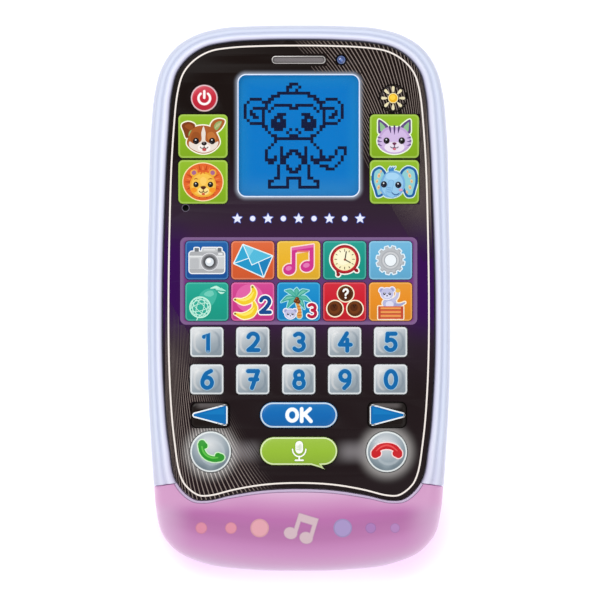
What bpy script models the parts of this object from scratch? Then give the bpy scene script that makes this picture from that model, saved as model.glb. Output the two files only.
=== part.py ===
"""Toy cell phone lying on its back: +Z out of the screen, +Y towards the earpiece, +X to the right.

Lengths are in millimetres and are scaled to metres where a mesh or a curve is made.
The casing is a rear housing, a front housing ring and a light cover round the lower end.
Keys stand in holes in the faceplate and press straight down towards a rubber keypad sheet.
"""
import math

import bmesh
import bpy
from mathutils import Vector

MM = 0.001

# Casing outline, right half from top to bottom: each row pairs a point on the outer edge
# with the point beside it on the edge of the faceplate.
OUTLINE = (
    ((0.0, 82.0), (0.0, 77.6)),
    ((13.0, 81.8), (12.0, 77.4)),
    ((24.0, 81.0), (21.5, 76.7)),
    ((31.8, 78.7), (28.0, 75.3)),
    ((37.6, 74.7), (33.0, 72.2)),
    ((41.4, 68.7), (36.4, 67.8)),
    ((43.2, 62.0), (38.0, 61.8)),
    ((44.3, 52.0), (38.9, 52.0)),
    ((45.1, 27.0), (40.2, 27.0)),
    ((45.5, 0.0), (40.9, 0.0)),
    ((45.2, -28.0), (40.4, -28.0)),
    ((44.3, -45.0), (38.9, -44.5)),
    ((43.5, -56.5), (36.5, -55.5)),
    ((42.8, -64.0), (34.2, -58.4)),
    ((41.0, -71.0), (31.0, -60.5)),
    ((36.6, -76.1), (27.5, -60.7)),
    ((28.5, -79.7), (21.0, -59.3)),
    ((15.0, -81.6), (11.0, -57.7)),
    ((0.0, -82.0), (0.0, -57.2)),
)
COVER_ROW = 12          # row of OUTLINE where the light cover meets the front housing
JOINT_STEP = 0.02       # half the parting gap there, in rows

# Heights of the stack, from the back of the phone to the front.
GAP = 0.3
FLOOR = 2.0
IN_FLOOR = 1.0          # height inside the floor from which bosses are joined to it
BELOW = -1.0            # height below everything from which cutters start
SEAM = 13.0
FRONT_LOW = SEAM + GAP
BOARD_LOW = 14.5
BOARD_TOP = BOARD_LOW + 1.6
SHEET_LOW = BOARD_TOP + GAP
SHEET_TOP = SHEET_LOW + 1.2
FLANGE_LOW = 18.7
FLANGE_TOP = 19.6
PANEL_LOW = FLANGE_TOP + GAP
PANEL_TOP = 21.5
RIDGE_TOP = 22.5
CHIN_WALL = 3.5         # height of the rear housing's wall under the light cover
COLLAR = 0.9            # width of the collar between faceplate and light cover
LEDGE = 1.6             # width of the ledge that carries the faceplate

# Keys: pitches, sizes and heights above the faceplate.
KEY_PITCH = 13.77
NUMBER_ROWS = (-13.1, -24.3)
NUMBER_SIZE = (10.0, 9.0, 1.1)
APP_ROWS = (11.4, -1.0)
APP_SIZE = (12.95, 11.55, 1.2)
ANIMAL_X = 28.7
ANIMAL_ROWS = (48.6, 34.9)
ANIMAL_SIZE = (14.8, 13.1, 1.4)
ARROW_X = 26.5
ARROW_Y = -35.0
ARROW_SIZE = (11.4, 7.5, 1.6)
PILL_WIDTH = 23.2
OK_Y = -35.0
OK_HEIGHT = 7.7
TALK_Y = -45.8
TALK_HEIGHT = 8.4
TALK_DROP = 5.6         # tip of the talk key's tail, below the key's centre
CALL_X = 26.4
CALL_Y = -46.0
CALL_RADIUS = 6.15
TOP_KEY_X = 28.3
TOP_KEY_Y = 60.0
TOP_KEY_RADIUS = 4.05

# Screen, set into the upper half of the faceplate.
SCREEN_Y = 48.8
SCREEN_SIZE = (36.0, 36.2, 2.2)
SCREEN_STACK_SIZE = (39.0, 39.0, 1.0)
SCREEN_WINDOW_SIZE = (40.0, 40.0, 1.0)  # hole in the keypad sheet round the display
DISPLAY_LOW = 18.2
BACKLIGHT_TOP = 17.9
LENS_SINK = 0.1         # the lens lies this far below the faceplate's top

# Round and slotted details of the faceplate.
EARPIECE_Y = 71.5
EARPIECE_SIZE = (15.6, 1.8)
CAMERA_AT = (12.75, 71.5)
CAMERA_RADIUS = 1.35
MICROPHONE_AT = (-33.9, 27.1)
MICROPHONE_HOLE = 0.95
MICROPHONE_RADIUS = 1.5
MICROPHONE_HEIGHT = 1.5
PLAY = 0.2              # clearance round the fixed parts in the faceplate's holes
DETAIL_HEIGHT = 1.5     # height of the earpiece grille and of the camera lens' rim
MICROPHONE_SHIFT = 0.75  # the capsule sits this far below its hole, clear of the key above

# Battery bay for two AAA cells, open at the back and closed by the door.
CELL_RADIUS = 5.25
CELL_LENGTH = 43.5
NUB_RADIUS = 1.9
NUB_LENGTH = 1.0
CELL_X = 5.6
CELL_Z = 7.6
BAY_WIDTH = 22.8
BAY_LOW = -42.0
BAY_HIGH = 10.0
BAY_ROOF = 13.2
BAY_WALL = 1.2
CELL_MIDDLE = -15.5
CELL_SHIFT = 1.0        # the cells lie this far off the middle, each towards its terminal
CONTACT_THICKNESS = 0.5
CONTACT_LOW = 3.6
CONTACT_TOP = 11.6
BRIDGE_WIDTH = 19.0
TERMINAL_WIDTH = 8.0
SPRING_WIRE = 0.3       # radius of the wire
SPRING_RADII = (3.6, 2.0)
SPRING_TURNS = 3
SPRING_ENDS = {"left": (BAY_LOW + 1.2, -38.9), "right": (BAY_HIGH - 0.7, 7.9)}
DOOR_WIDTH = 26.0
DOOR_LOW = -44.5
DOOR_HIGH = 23.0
DOOR_BACK = 0.2
DOOR_STEP = 1.0
DOOR_SCREW_Y = 17.2
DOOR_BOSS_RADIUS = 4.1
DOOR_BOSS_TOP = 3.0
DOOR_WELL = 1.8
DOOR_SCREW_LOW = 0.15
DOOR_SCREW_TIP = 7.2
DOOR_PILLAR_RADIUS = DOOR_BOSS_RADIUS + 1.4     # boss of the rear housing over the door's own
DOOR_PILLAR_TOP = 9.0

# Screws and bosses.
SCREW_PLACES = ((-37.0, 61.0), (37.0, 61.0), (-37.0, -44.0), (37.0, -44.0))
SHAFT_RADIUS = 1.25
PILOT_RADIUS = 1.6
HEAD_RADIUS = 2.6
WELL_RADIUS = 3.2
WELL_DEPTH = 3.0
REAR_BOSS_RADIUS = 4.4
FRONT_BOSS_RADIUS = 3.0
SCREW_LOW = 1.1
SCREW_TIP = 16.4

# Speaker behind the screen.
SPEAKER_Y = 47.0
SPEAKER_RADIUS = 14.0
GRILLE_HOLE = 1.1
GRILLE_PITCH = 3.6
GRILLE_RINGS = (6, 12, 12)      # holes on each ring
SPEAKER_PROFILE = ((SPEAKER_RADIUS - 0.8, 0.0), (SPEAKER_RADIUS, 0.3), (SPEAKER_RADIUS, 1.4),
                   (9.0, 4.0), (7.5, 4.2), (7.5, 7.0))

# Keypad sheet, circuit board, and the lamps that light the chin
SHEET_EDGE = ((29.5, 70.5), (33.3, 66.0), (33.3, 56.5), (36.7, 55.5), (36.7, -37.5),
              (33.3, -39.0), (33.3, -53.5))
BOARD_SIZE = (66.6, 118.0, 2.0)
BOARD_Y = 5.5
LIGHT_BOARD_SIZE = (44.0, 8.0, 1.0)
LIGHT_BOARD_Y = -68.9
LIGHT_BOARD_TOP = FLOOR + GAP + 1.2
LED_X = 13.0
LED_PROFILE = ((1.6, 0.0), (1.6, 0.6), (1.25, 0.6), (1.25, 2.2), (0.8, 3.0))


# ---------------------------------------------------------------- curves and outlines

def closed_outline(side):
    """Whole outline from the right half: side 0 is the outer edge, 1 the faceplate edge."""
    right = [row[side] for row in OUTLINE]
    left = [(-x, y) for x, y in right[-2:0:-1]]
    return [Vector(point) for point in right + left]


OUTER_EDGE = closed_outline(0)
PANEL_EDGE = closed_outline(1)
ROWS_ROUND = len(OUTER_EDGE)


def on_curve(points, at):
    """Point on the smooth closed curve through the points, where at counts points."""
    count = len(points)
    first = math.floor(at)
    f = at - first
    p0, p1, p2, p3 = (points[(first + step) % count] for step in (-1, 0, 1, 2))
    d0 = (p1 - p0).length
    d1 = (p2 - p1).length
    d2 = (p3 - p2).length
    tangent1 = ((p2 - p1) * (d0 / d1) + (p1 - p0) * (d1 / d0)) / (d0 + d1) * d1
    tangent2 = ((p3 - p2) * (d1 / d2) + (p2 - p1) * (d2 / d1)) / (d1 + d2) * d1
    start = p1 * (2 * f ** 3 - 3 * f ** 2 + 1) + tangent1 * (f ** 3 - 2 * f ** 2 + f)
    end = p2 * (3 * f ** 2 - 2 * f ** 3) + tangent2 * (f ** 3 - f ** 2)
    return start + end


def casing_point(at, across, inwards, z):
    """Point on the casing: across 0 is the outer edge and 1 the faceplate edge, at that row.

    inwards is a further distance in the same direction, towards the faceplate.
    """
    outer = on_curve(OUTER_EDGE, at)
    panel = on_curve(PANEL_EDGE, at)
    direction = (panel - outer).normalized()
    place = outer.lerp(panel, across) + direction * inwards
    return place.x, place.y, z


def rows_between(start, end):
    """Half-row steps strictly between two row values, with both ends added."""
    steps = [k / 2 for k in range(math.floor(start * 2) + 1, math.ceil(end * 2))]
    return [start] + steps + [end]


def rounded_rect(width, height, radius, per_corner=3, centre=(0.0, 0.0)):
    """Anticlockwise rounded rectangle with the given number of points on each corner."""
    points = []
    for corner, (sx, sy) in enumerate(((1, 1), (-1, 1), (-1, -1), (1, -1))):
        cx = centre[0] + sx * (width / 2 - radius)
        cy = centre[1] + sy * (height / 2 - radius)
        for step in range(per_corner):
            angle = math.pi / 2 * (corner + step / (per_corner - 1))
            points.append((cx + radius * math.cos(angle), cy + radius * math.sin(angle)))
    return points


def stadium(width, height, per_corner=5, centre=(0.0, 0.0)):
    """Rounded rectangle whose ends are almost half circles."""
    return rounded_rect(width, height, height / 2 - 0.02, per_corner, centre)


def circle(radius, count, centre=(0.0, 0.0)):
    """Anticlockwise circle."""
    turn = 2 * math.pi / count
    return [(centre[0] + radius * math.cos(k * turn), centre[1] + radius * math.sin(k * turn))
            for k in range(count)]


# ---------------------------------------------------------------- outlines of the keys

def rect_key(size, inset):
    width, height, radius = size
    return rounded_rect(width - 2 * inset, height - 2 * inset, max(radius - inset, 0.3))


def ok_key(inset):
    return stadium(PILL_WIDTH - 2 * inset, OK_HEIGHT - 2 * inset)


def talk_key(inset):
    """Pill with the tail of a speech bubble below its right half."""
    bottom = -TALK_HEIGHT / 2 + inset
    tail = [(3.7 + 0.3 * inset, bottom), (8.0 - 1.7 * inset, -TALK_DROP + 1.2 * inset),
            (6.9 - 1.7 * inset, bottom)]
    pill = stadium(PILL_WIDTH - 2 * inset, TALK_HEIGHT - 2 * inset)
    lower_right = 3 * len(pill) // 4
    return pill[:lower_right] + tail + pill[lower_right:]


def call_key(inset):
    return circle(CALL_RADIUS - inset, 20)


def top_key(inset):
    return circle(TOP_KEY_RADIUS - inset, 16)


# A cap profile lists (inset from the key's edge, height above the faceplate), foot to top.
NUMBER_PROFILE = ((0.0, 0.5), (0.3, 0.85), (1.15, 0.95), (1.5, 1.3))
TILE_PROFILE = ((0.0, 0.2), (0.3, 0.5))
PILL_PROFILE = ((0.0, 0.5), (0.35, 0.95), (1.1, 1.2))
CALL_PROFILE = ((0.0, 0.4), (0.5, 0.9), (1.6, 1.4), (3.4, 1.75), (5.0, 1.85))
ROUND_PROFILE = ((0.0, 0.3), (0.4, 0.65), (1.4, 0.9))
ARROW_PROFILE = ((0.0, 0.2), (0.6, 0.7), (1.6, 0.9))

APP_NAMES = (("camera", "mail", "music", "clock", "settings"),
             ("net", "bananas", "palm", "coconuts", "crate"))
APP_COLOURS = {
    "camera": (0.02, 0.11, 0.40), "mail": (0.75, 0.13, 0.03), "music": (0.83, 0.51, 0.03),
    "clock": (0.01, 0.35, 0.28), "settings": (0.16, 0.48, 0.80), "net": (0.01, 0.40, 0.30),
    "bananas": (0.68, 0.05, 0.26), "palm": (0.01, 0.30, 0.64), "coconuts": (0.68, 0.02, 0.03),
    "crate": (0.79, 0.30, 0.02),
}
ANIMALS = (("dog", -1, 0), ("lion", -1, 1), ("cat", 1, 0), ("elephant", 1, 1))


def key_table():
    """Every key: name, place, outline function, profile, flange width, hole clearance, colour."""
    silver = (0.62, 0.66, 0.72)
    blue = (0.01, 0.17, 0.52)
    black = (0.02, 0.015, 0.02)
    green = (0.29, 0.42, 0.03)
    keys = []

    def add(name, place, outline, profile, flange, clear, colour):
        keys.append(("key_" + name, place, outline, profile, flange, clear, colour))

    for index, digit in enumerate("1234567890"):
        place = ((index % 5 - 2) * KEY_PITCH, NUMBER_ROWS[index // 5])
        add(digit, place, lambda inset: rect_key(NUMBER_SIZE, inset), NUMBER_PROFILE, 0.6, 0.2,
            silver)
    for row, names in enumerate(APP_NAMES):
        for column, name in enumerate(names):
            place = ((column - 2) * KEY_PITCH, APP_ROWS[row])
            add(name, place, lambda inset: rect_key(APP_SIZE, inset), TILE_PROFILE, 0.25, 0.15,
                APP_COLOURS[name])
    for name, side, row in ANIMALS:
        add(name, (side * ANIMAL_X, ANIMAL_ROWS[row]), lambda inset: rect_key(ANIMAL_SIZE, inset),
            TILE_PROFILE, 0.2, 0.12, green)
    add("power", (-TOP_KEY_X, TOP_KEY_Y), top_key, ROUND_PROFILE, 0.2, 0.15, (0.50, 0.02, 0.05))
    add("light", (TOP_KEY_X, TOP_KEY_Y), top_key, ROUND_PROFILE, 0.2, 0.15, black)
    for name, side in (("left", -1), ("right", 1)):
        add(name, (side * ARROW_X, ARROW_Y), lambda inset: rect_key(ARROW_SIZE, inset),
            ARROW_PROFILE, 0.4, 0.2, black)
    add("ok", (0.0, OK_Y), ok_key, PILL_PROFILE, 0.6, 0.2, blue)
    add("talk", (0.0, TALK_Y), talk_key, PILL_PROFILE, 0.4, 0.2, green)
    add("call", (-CALL_X, CALL_Y), call_key, CALL_PROFILE, 0.5, 0.2, silver)
    add("hang_up", (CALL_X, CALL_Y), call_key, CALL_PROFILE, 0.5, 0.2, silver)
    return keys


# ---------------------------------------------------------------- making objects

def material(name, colour, roughness=0.45, metallic=0.0, transmission=0.0):
    made = bpy.data.materials.new(name)
    made.use_nodes = True
    shader = made.node_tree.nodes["Principled BSDF"]
    shader.inputs["Base Color"].default_value = (*colour, 1.0)
    shader.inputs["Roughness"].default_value = roughness
    shader.inputs["Metallic"].default_value = metallic
    shader.inputs["Transmission Weight"].default_value = transmission
    return made


def placed(name, data, look, at):
    """Object with its origin at the given place in millimetres."""
    made = bpy.data.objects.new(name, data)
    bpy.context.scene.collection.objects.link(made)
    made.location = Vector(at) * MM
    if look is not None:
        made.data.materials.append(look)
    return made


def add_lattice(bm, rows, ring=False):
    """Skin rows of points, each row a closed loop; a ring joins its last row to its first."""
    verts = [[bm.verts.new(Vector(point) * MM) for point in row] for row in rows]
    pairs = list(zip(verts, verts[1:]))
    if ring:
        pairs.append((verts[-1], verts[0]))
    for low, high in pairs:
        for k in range(len(low)):
            after = (k + 1) % len(low)
            bm.faces.new((low[k], low[after], high[after], high[k]))
    if not ring:
        bm.faces.new(verts[0])
        bm.faces.new(verts[-1])


def lattice_object(name, bodies, look=None, at=(0.0, 0.0, 0.0), ring=False, sharp=35.0):
    """Object made of one or more lattices, with its faces turned outwards."""
    bm = bmesh.new()
    for rows in bodies:
        add_lattice(bm, rows, ring)
    bmesh.ops.recalc_face_normals(bm, faces=bm.faces)
    mesh = bpy.data.meshes.new(name)
    bm.to_mesh(mesh)
    bm.free()
    mesh.shade_smooth()
    mesh.set_sharp_from_angle(angle=math.radians(sharp))
    return placed(name, mesh, look, at)


def stack(levels):
    """Rows for a lattice from (outline, z) pairs."""
    return [[(x, y, z) for x, y in outline] for outline, z in levels]


def turned(profile, count=16, centre=(0.0, 0.0)):
    """Rows for a turned body from (radius, z) pairs."""
    return stack([(circle(radius, count, centre), z) for radius, z in profile])


def plate(name, outlines, low, high, look):
    """Flat plate: the first outline is its edge and the others are holes through it."""
    curve = bpy.data.curves.new(name, "CURVE")
    curve.dimensions = "2D"
    curve.fill_mode = "BOTH"
    curve.extrude = (high - low) / 2 * MM
    for outline in outlines:
        spline = curve.splines.new("POLY")
        spline.points.add(len(outline) - 1)
        for point, (x, y) in zip(spline.points, outline):
            point.co = (x * MM, y * MM, 0.0, 1.0)
        spline.use_cyclic_u = True
    return placed(name, curve, look, (0.0, 0.0, (low + high) / 2))


def combine(target, tool, operation):
    """Boolean with a tool that stays in the file as a hidden guide."""
    tool.hide_render = True
    tool.display_type = "WIRE"
    modifier = target.modifiers.new(tool.name, "BOOLEAN")
    modifier.operation = operation
    modifier.solver = "EXACT"
    modifier.object = tool


# ---------------------------------------------------------------- casing

FRONT_SECTION = (
    (0.0, 0.0, FRONT_LOW), (0.0, 0.0, 16.5), (0.04, 0.0, 18.8), (0.15, 0.0, 20.2),
    (0.34, 0.0, 21.0), (0.50, 0.0, 20.7), (0.62, 0.0, 21.4), (0.76, 0.0, RIDGE_TOP),
    (0.90, 0.0, 22.3), (1.0, 0.0, PANEL_TOP - 0.2), (1.0, 0.0, FLANGE_TOP),
    (1.0, LEDGE, FLANGE_TOP), (1.0, LEDGE, 17.6), (1.0, -0.6, 17.4), (0.0, 2.0, 16.0),
    (0.0, 2.0, FRONT_LOW),
)
COLLAR_SECTION = (
    (1.0, -COLLAR, 17.6), (1.0, -COLLAR, 18.2), (1.0, -COLLAR, 18.8), (1.0, -COLLAR, 19.4),
    (1.0, -COLLAR, 20.0), (1.0, -COLLAR, 20.6), (1.0, -COLLAR, 21.4), (1.0, -COLLAR + 0.2, 21.9),
    (1.0, -0.2, 21.9), (1.0, 0.0, PANEL_TOP - 0.2), (1.0, 0.0, FLANGE_TOP),
    (1.0, LEDGE, FLANGE_TOP), (1.0, LEDGE, 17.6), (1.0, LEDGE / 2, 17.6), (1.0, 0.0, 17.6),
    (1.0, -COLLAR / 2, 17.6),
)
REAR_SECTION = (
    (0.0, 4.0, 0.0), (0.0, 1.7, 0.8), (0.0, 0.6, 2.5), (0.0, 0.1, 5.0), (0.0, 0.0, 8.0),
    (0.0, 0.0, SEAM), (0.0, 2.0, SEAM), (0.0, 2.0, 6.0), (0.0, 2.8, 3.2), (0.0, 5.0, FLOOR),
)
CHIN_SECTION = (
    (0.0, 4.0, 0.0), (0.0, 1.7, 0.8), (0.0, 0.75, 2.0), (0.0, 0.6, 2.5), (0.0, 0.5, 3.0),
    (0.0, 0.42, CHIN_WALL), (0.0, 2.42, CHIN_WALL), (0.0, 2.5, 3.1), (0.0, 3.2, 2.5),
    (0.0, 5.0, FLOOR),
)


def casing_loops(full, lower):
    """Sections all round: full above the light cover's ends and lower between them."""
    split = COVER_ROW - JOINT_STEP
    upper = [(at, full) for at in rows_between(ROWS_ROUND - split, ROWS_ROUND + split)]
    chin = [(at, lower) for at in rows_between(COVER_ROW, ROWS_ROUND - COVER_ROW)]
    return [[casing_point(at, *point) for point in section] for at, section in upper + chin]


def make_front_housing():
    look = material("lilac_shell", (0.72, 0.75, 0.90), 0.3)
    housing = lattice_object("front_housing", [casing_loops(FRONT_SECTION, COLLAR_SECTION)],
                             look, ring=True)
    bosses = [turned(((FRONT_BOSS_RADIUS, FRONT_LOW), (FRONT_BOSS_RADIUS, 18.6)), 14, place)
              for place in SCREW_PLACES]
    pilots = [turned(((PILOT_RADIUS, SEAM - 1), (PILOT_RADIUS, 17.0)), 12, place)
              for place in SCREW_PLACES]
    combine(housing, lattice_object("front_bosses_tool", bosses), "UNION")
    combine(housing, lattice_object("front_pilots_tool", pilots), "DIFFERENCE")


def grille_places():
    """Centre hole, then the holes of each ring."""
    places = [(0.0, SPEAKER_Y)]
    for ring, holes in enumerate(GRILLE_RINGS, 1):
        places += circle(ring * GRILLE_PITCH, holes, (0.0, SPEAKER_Y))
    return places


def make_rear_housing():
    look = material("lilac_back", (0.70, 0.73, 0.88), 0.35)
    sections = casing_loops(REAR_SECTION, CHIN_SECTION)
    housing = lattice_object("rear_housing", [list(zip(*sections))], look)

    middle = (BAY_LOW + BAY_HIGH) / 2
    length = BAY_HIGH - BAY_LOW
    box = rounded_rect(BAY_WIDTH + 2 * BAY_WALL, length + 2 * BAY_WALL, 1.4, 2, (0, middle))
    bosses = [turned(((REAR_BOSS_RADIUS, IN_FLOOR), (REAR_BOSS_RADIUS, SEAM)), 14, place)
              for place in SCREW_PLACES]
    bosses.append(turned(((DOOR_PILLAR_RADIUS, IN_FLOOR), (DOOR_PILLAR_RADIUS, DOOR_PILLAR_TOP)),
                         14, (0.0, DOOR_SCREW_Y)))
    bosses.append(stack([(box, IN_FLOOR), (box, BAY_ROOF + BAY_WALL)]))
    combine(housing, lattice_object("rear_bosses_tool", bosses), "UNION")

    recess = rounded_rect(DOOR_WIDTH + 2 * PLAY, DOOR_HIGH - DOOR_LOW + 2 * PLAY, 2.2, 3,
                          (0, (DOOR_LOW + DOOR_HIGH) / 2))
    cavity = rounded_rect(BAY_WIDTH, length, 0.8, 3, (0, middle))
    bay = stack([(recess, BELOW), (recess, DOOR_STEP + GAP), (cavity, DOOR_STEP + GAP),
                 (cavity, BAY_ROOF)])
    combine(housing, lattice_object("bay_tool", [bay]), "DIFFERENCE")

    well = ((WELL_RADIUS, BELOW), (WELL_RADIUS, WELL_DEPTH), (PILOT_RADIUS, WELL_DEPTH),
            (PILOT_RADIUS, SEAM + 1))
    holes = [turned(well, 12, place) for place in SCREW_PLACES]
    pocket = ((DOOR_BOSS_RADIUS + GAP, 0.5), (DOOR_BOSS_RADIUS + GAP, DOOR_BOSS_TOP + GAP),
              (PILOT_RADIUS, DOOR_BOSS_TOP + GAP), (PILOT_RADIUS, 8.0))
    holes.append(turned(pocket, 14, (0.0, DOOR_SCREW_Y)))
    holes += [turned(((GRILLE_HOLE, BELOW), (GRILLE_HOLE, FLOOR + 1)), 8, place)
              for place in grille_places()]
    combine(housing, lattice_object("holes_tool", holes), "DIFFERENCE")


def cover_section(at):
    """Shell section of the light cover: a quarter dome from its low outer edge to the collar."""
    outer = on_curve(OUTER_EDGE, at)
    panel = on_curve(PANEL_EDGE, at)
    reach = (panel - outer).length - COLLAR - GAP
    low, high, wall = 11.0, 21.7, 2.0
    points = [(0.42, CHIN_WALL + GAP), (0.1, 6.0)]
    inside = [(0.42 + wall, CHIN_WALL + GAP), (0.1 + wall, 6.0)]
    for share in (0.0, 0.04, 0.13, 0.28, 0.5, 0.75, 1.0):
        rise = (1 - (1 - share) ** 2.6) ** (1 / 2.6)
        z = low + (high - low) * rise
        points.append((share * reach, z))
        inside.append((share * reach + wall * (1 - share), z - wall * (0.2 + 0.8 * rise)))
    loop = points + inside[::-1]
    return [casing_point(at, 0.0, distance, z) for distance, z in loop]


def make_light_cover():
    look = material("pink_diffuser", (0.62, 0.26, 0.50), 0.35, transmission=0.3)
    start = COVER_ROW + JOINT_STEP
    rows = [cover_section(at) for at in rows_between(start, ROWS_ROUND - start)]
    lattice_object("light_cover", [rows], look)


# ---------------------------------------------------------------- faceplate and screen

def panel_edge(inwards):
    count = 2 * ROWS_ROUND
    return [casing_point(k / 2, 1.0, inwards, 0.0)[:2] for k in range(count)]


def moved(outline, place):
    return [(x + place[0], y + place[1]) for x, y in outline]


def make_faceplate(keys):
    look = material("black_gloss", (0.02, 0.012, 0.02), 0.12)
    width, height, radius = SCREEN_SIZE
    holes = [moved(outline(-clear), place) for _, place, outline, _, _, clear, _ in keys]
    holes.append(rounded_rect(width + 2 * PLAY, height + 2 * PLAY, radius + PLAY, 4,
                              (0, SCREEN_Y)))
    holes.append(stadium(EARPIECE_SIZE[0] + 2 * PLAY, EARPIECE_SIZE[1] + 2 * PLAY, 4,
                         (0, EARPIECE_Y)))
    holes.append(circle(CAMERA_RADIUS + PLAY, 12, CAMERA_AT))
    holes.append(circle(MICROPHONE_HOLE, 8, MICROPHONE_AT))
    plate("faceplate", [panel_edge(GAP)] + holes, PANEL_LOW, PANEL_TOP, look)


def make_screen():
    def block(name, size, low, high, look):
        outline = rounded_rect(*size, 4)
        lattice_object(name, [stack([(outline, 0.0), (outline, high - low)])], look,
                       (0.0, SCREEN_Y, low))

    block("screen_lens", SCREEN_SIZE, PANEL_LOW, PANEL_TOP - LENS_SINK,
          material("clear_lens", (0.7, 0.8, 0.95), 0.05, transmission=0.9))
    block("screen_panel", SCREEN_STACK_SIZE, DISPLAY_LOW, FLANGE_TOP,
          material("lcd_blue", (0.0, 0.19, 0.60), 0.2))
    block("screen_backlight", SCREEN_STACK_SIZE, SHEET_LOW, BACKLIGHT_TOP,
          material("milky_plastic", (0.85, 0.88, 0.92), 0.5))


def make_faceplate_details():
    grey = material("grille_grey", (0.28, 0.28, 0.30), 0.5)
    slot = [(stadium(*EARPIECE_SIZE, 4), z) for z in (0.0, DETAIL_HEIGHT)]
    lattice_object("earpiece_grille", [stack(slot)], grey, (0.0, EARPIECE_Y, PANEL_LOW))
    glass = material("camera_glass", (0.02, 0.10, 0.35), 0.08)
    lens = turned(((CAMERA_RADIUS, 0.0), (CAMERA_RADIUS, DETAIL_HEIGHT),
                   (CAMERA_RADIUS - 0.55, DETAIL_HEIGHT + 0.25)), 12)
    lattice_object("camera_lens", [lens], glass, (*CAMERA_AT, PANEL_LOW))
    metal = material("microphone_can", (0.55, 0.55, 0.56), 0.35, 1.0)
    can = turned(((MICROPHONE_RADIUS - 0.1, 0.0), (MICROPHONE_RADIUS, 0.2),
                  (MICROPHONE_RADIUS, MICROPHONE_HEIGHT)), 12)
    at = (MICROPHONE_AT[0], MICROPHONE_AT[1] - MICROPHONE_SHIFT, SHEET_TOP + GAP)
    lattice_object("microphone", [can], metal, at)


# ---------------------------------------------------------------- keys

def make_key(key):
    """Key cap on its flange, with its origin on the line that it slides along."""
    name, place, outline, profile, flange, _, colour = key
    levels = [(outline(-flange), 0.0), (outline(-flange), FLANGE_TOP - FLANGE_LOW),
              (outline(0.0), FLANGE_TOP - FLANGE_LOW)]
    for inset, height in profile:
        levels.append((outline(inset), PANEL_TOP + height - FLANGE_LOW))
    look = material(name + "_plastic", colour, 0.25)
    lattice_object(name, [stack(levels)], look, (*place, FLANGE_LOW), sharp=25.0)


# ---------------------------------------------------------------- insides

def make_boards():
    rubber = material("keypad_rubber", (0.45, 0.46, 0.48), 0.8)
    outline = [(-x, y) for x, y in SHEET_EDGE] + list(SHEET_EDGE[::-1])
    window = rounded_rect(*SCREEN_WINDOW_SIZE, 2, (0, SCREEN_Y))
    plate("keypad_sheet", [outline, window], SHEET_LOW, SHEET_TOP, rubber)

    green = material("board_green", (0.02, 0.22, 0.09), 0.5)
    board = rounded_rect(*BOARD_SIZE, 3, (0, BOARD_Y))
    lattice_object("circuit_board", [stack([(board, BOARD_LOW), (board, BOARD_TOP)])], green)
    strip = rounded_rect(*LIGHT_BOARD_SIZE, 3, (0, LIGHT_BOARD_Y))
    lattice_object("light_board", [stack([(strip, FLOOR + GAP), (strip, LIGHT_BOARD_TOP)])], green)
    for name, side in (("led_left", -1), ("led_right", 1)):
        lattice_object(name, [turned(LED_PROFILE, 10)],
                       material(name + "_lens", (0.95, 0.75, 0.90), 0.2),
                       (side * LED_X, LIGHT_BOARD_Y, LIGHT_BOARD_TOP + GAP))


def make_speaker():
    lattice_object("speaker", [turned(SPEAKER_PROFILE, 20)],
                   material("speaker_steel", (0.2, 0.2, 0.2)), (0.0, SPEAKER_Y, FLOOR + GAP))


def make_cell(name, side):
    """AAA cell along Y with its terminal pointing the way that side says."""
    half = CELL_LENGTH / 2
    profile = ((4.0, -half), (CELL_RADIUS, -half + 0.5), (CELL_RADIUS, half - 0.5),
               (4.6, half), (NUB_RADIUS, half), (NUB_RADIUS, half + NUB_LENGTH))
    cell = lattice_object(name, [turned(profile)], material(name + "_jacket", (0.1, 0.3, 0.12)),
                          (side * CELL_X, CELL_MIDDLE + side * CELL_SHIFT, CELL_Z))
    cell.rotation_euler = (math.radians(90 * side), 0.0, 0.0)


def make_spring(name, x, start, end, per_turn=10):
    """Cone spring along Y in front of a cell's flat end."""
    curve = bpy.data.curves.new(name, "CURVE")
    curve.dimensions = "3D"
    curve.bevel_depth = SPRING_WIRE * MM
    curve.bevel_resolution = 1
    curve.use_fill_caps = True
    spline = curve.splines.new("POLY")
    spline.points.add(SPRING_TURNS * per_turn)
    for k, point in enumerate(spline.points):
        share = k / (SPRING_TURNS * per_turn)
        radius = SPRING_RADII[0] + (SPRING_RADII[1] - SPRING_RADII[0]) * share
        angle = 2 * math.pi * k / per_turn
        place = Vector((x + radius * math.cos(angle), start + (end - start) * share,
                        CELL_Z + radius * math.sin(angle)))
        point.co = (*(place * MM), 1.0)
    placed(name, curve, material(name + "_wire", (0.6, 0.6, 0.6), 0.3, 1.0), (0.0, 0.0, 0.0))


def make_batteries():
    make_cell("battery_left", -1)
    make_cell("battery_right", 1)
    nickel = (0.62, 0.60, 0.55)
    into_bay = GAP + CONTACT_THICKNESS / 2
    contacts = (("battery_bridge", BRIDGE_WIDTH, (0.0, BAY_LOW + into_bay)),
                ("battery_terminal", TERMINAL_WIDTH, (-CELL_X, BAY_HIGH - into_bay)))
    for name, width, place in contacts:
        outline = rounded_rect(width, CONTACT_THICKNESS, 0.2, 2, place)
        lattice_object(name, [stack([(outline, CONTACT_LOW), (outline, CONTACT_TOP)])],
                       material(name + "_nickel", nickel, 0.3, 1.0))
    make_spring("battery_spring_left", -CELL_X, *SPRING_ENDS["left"])
    make_spring("battery_spring_right", CELL_X, *SPRING_ENDS["right"])


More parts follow.
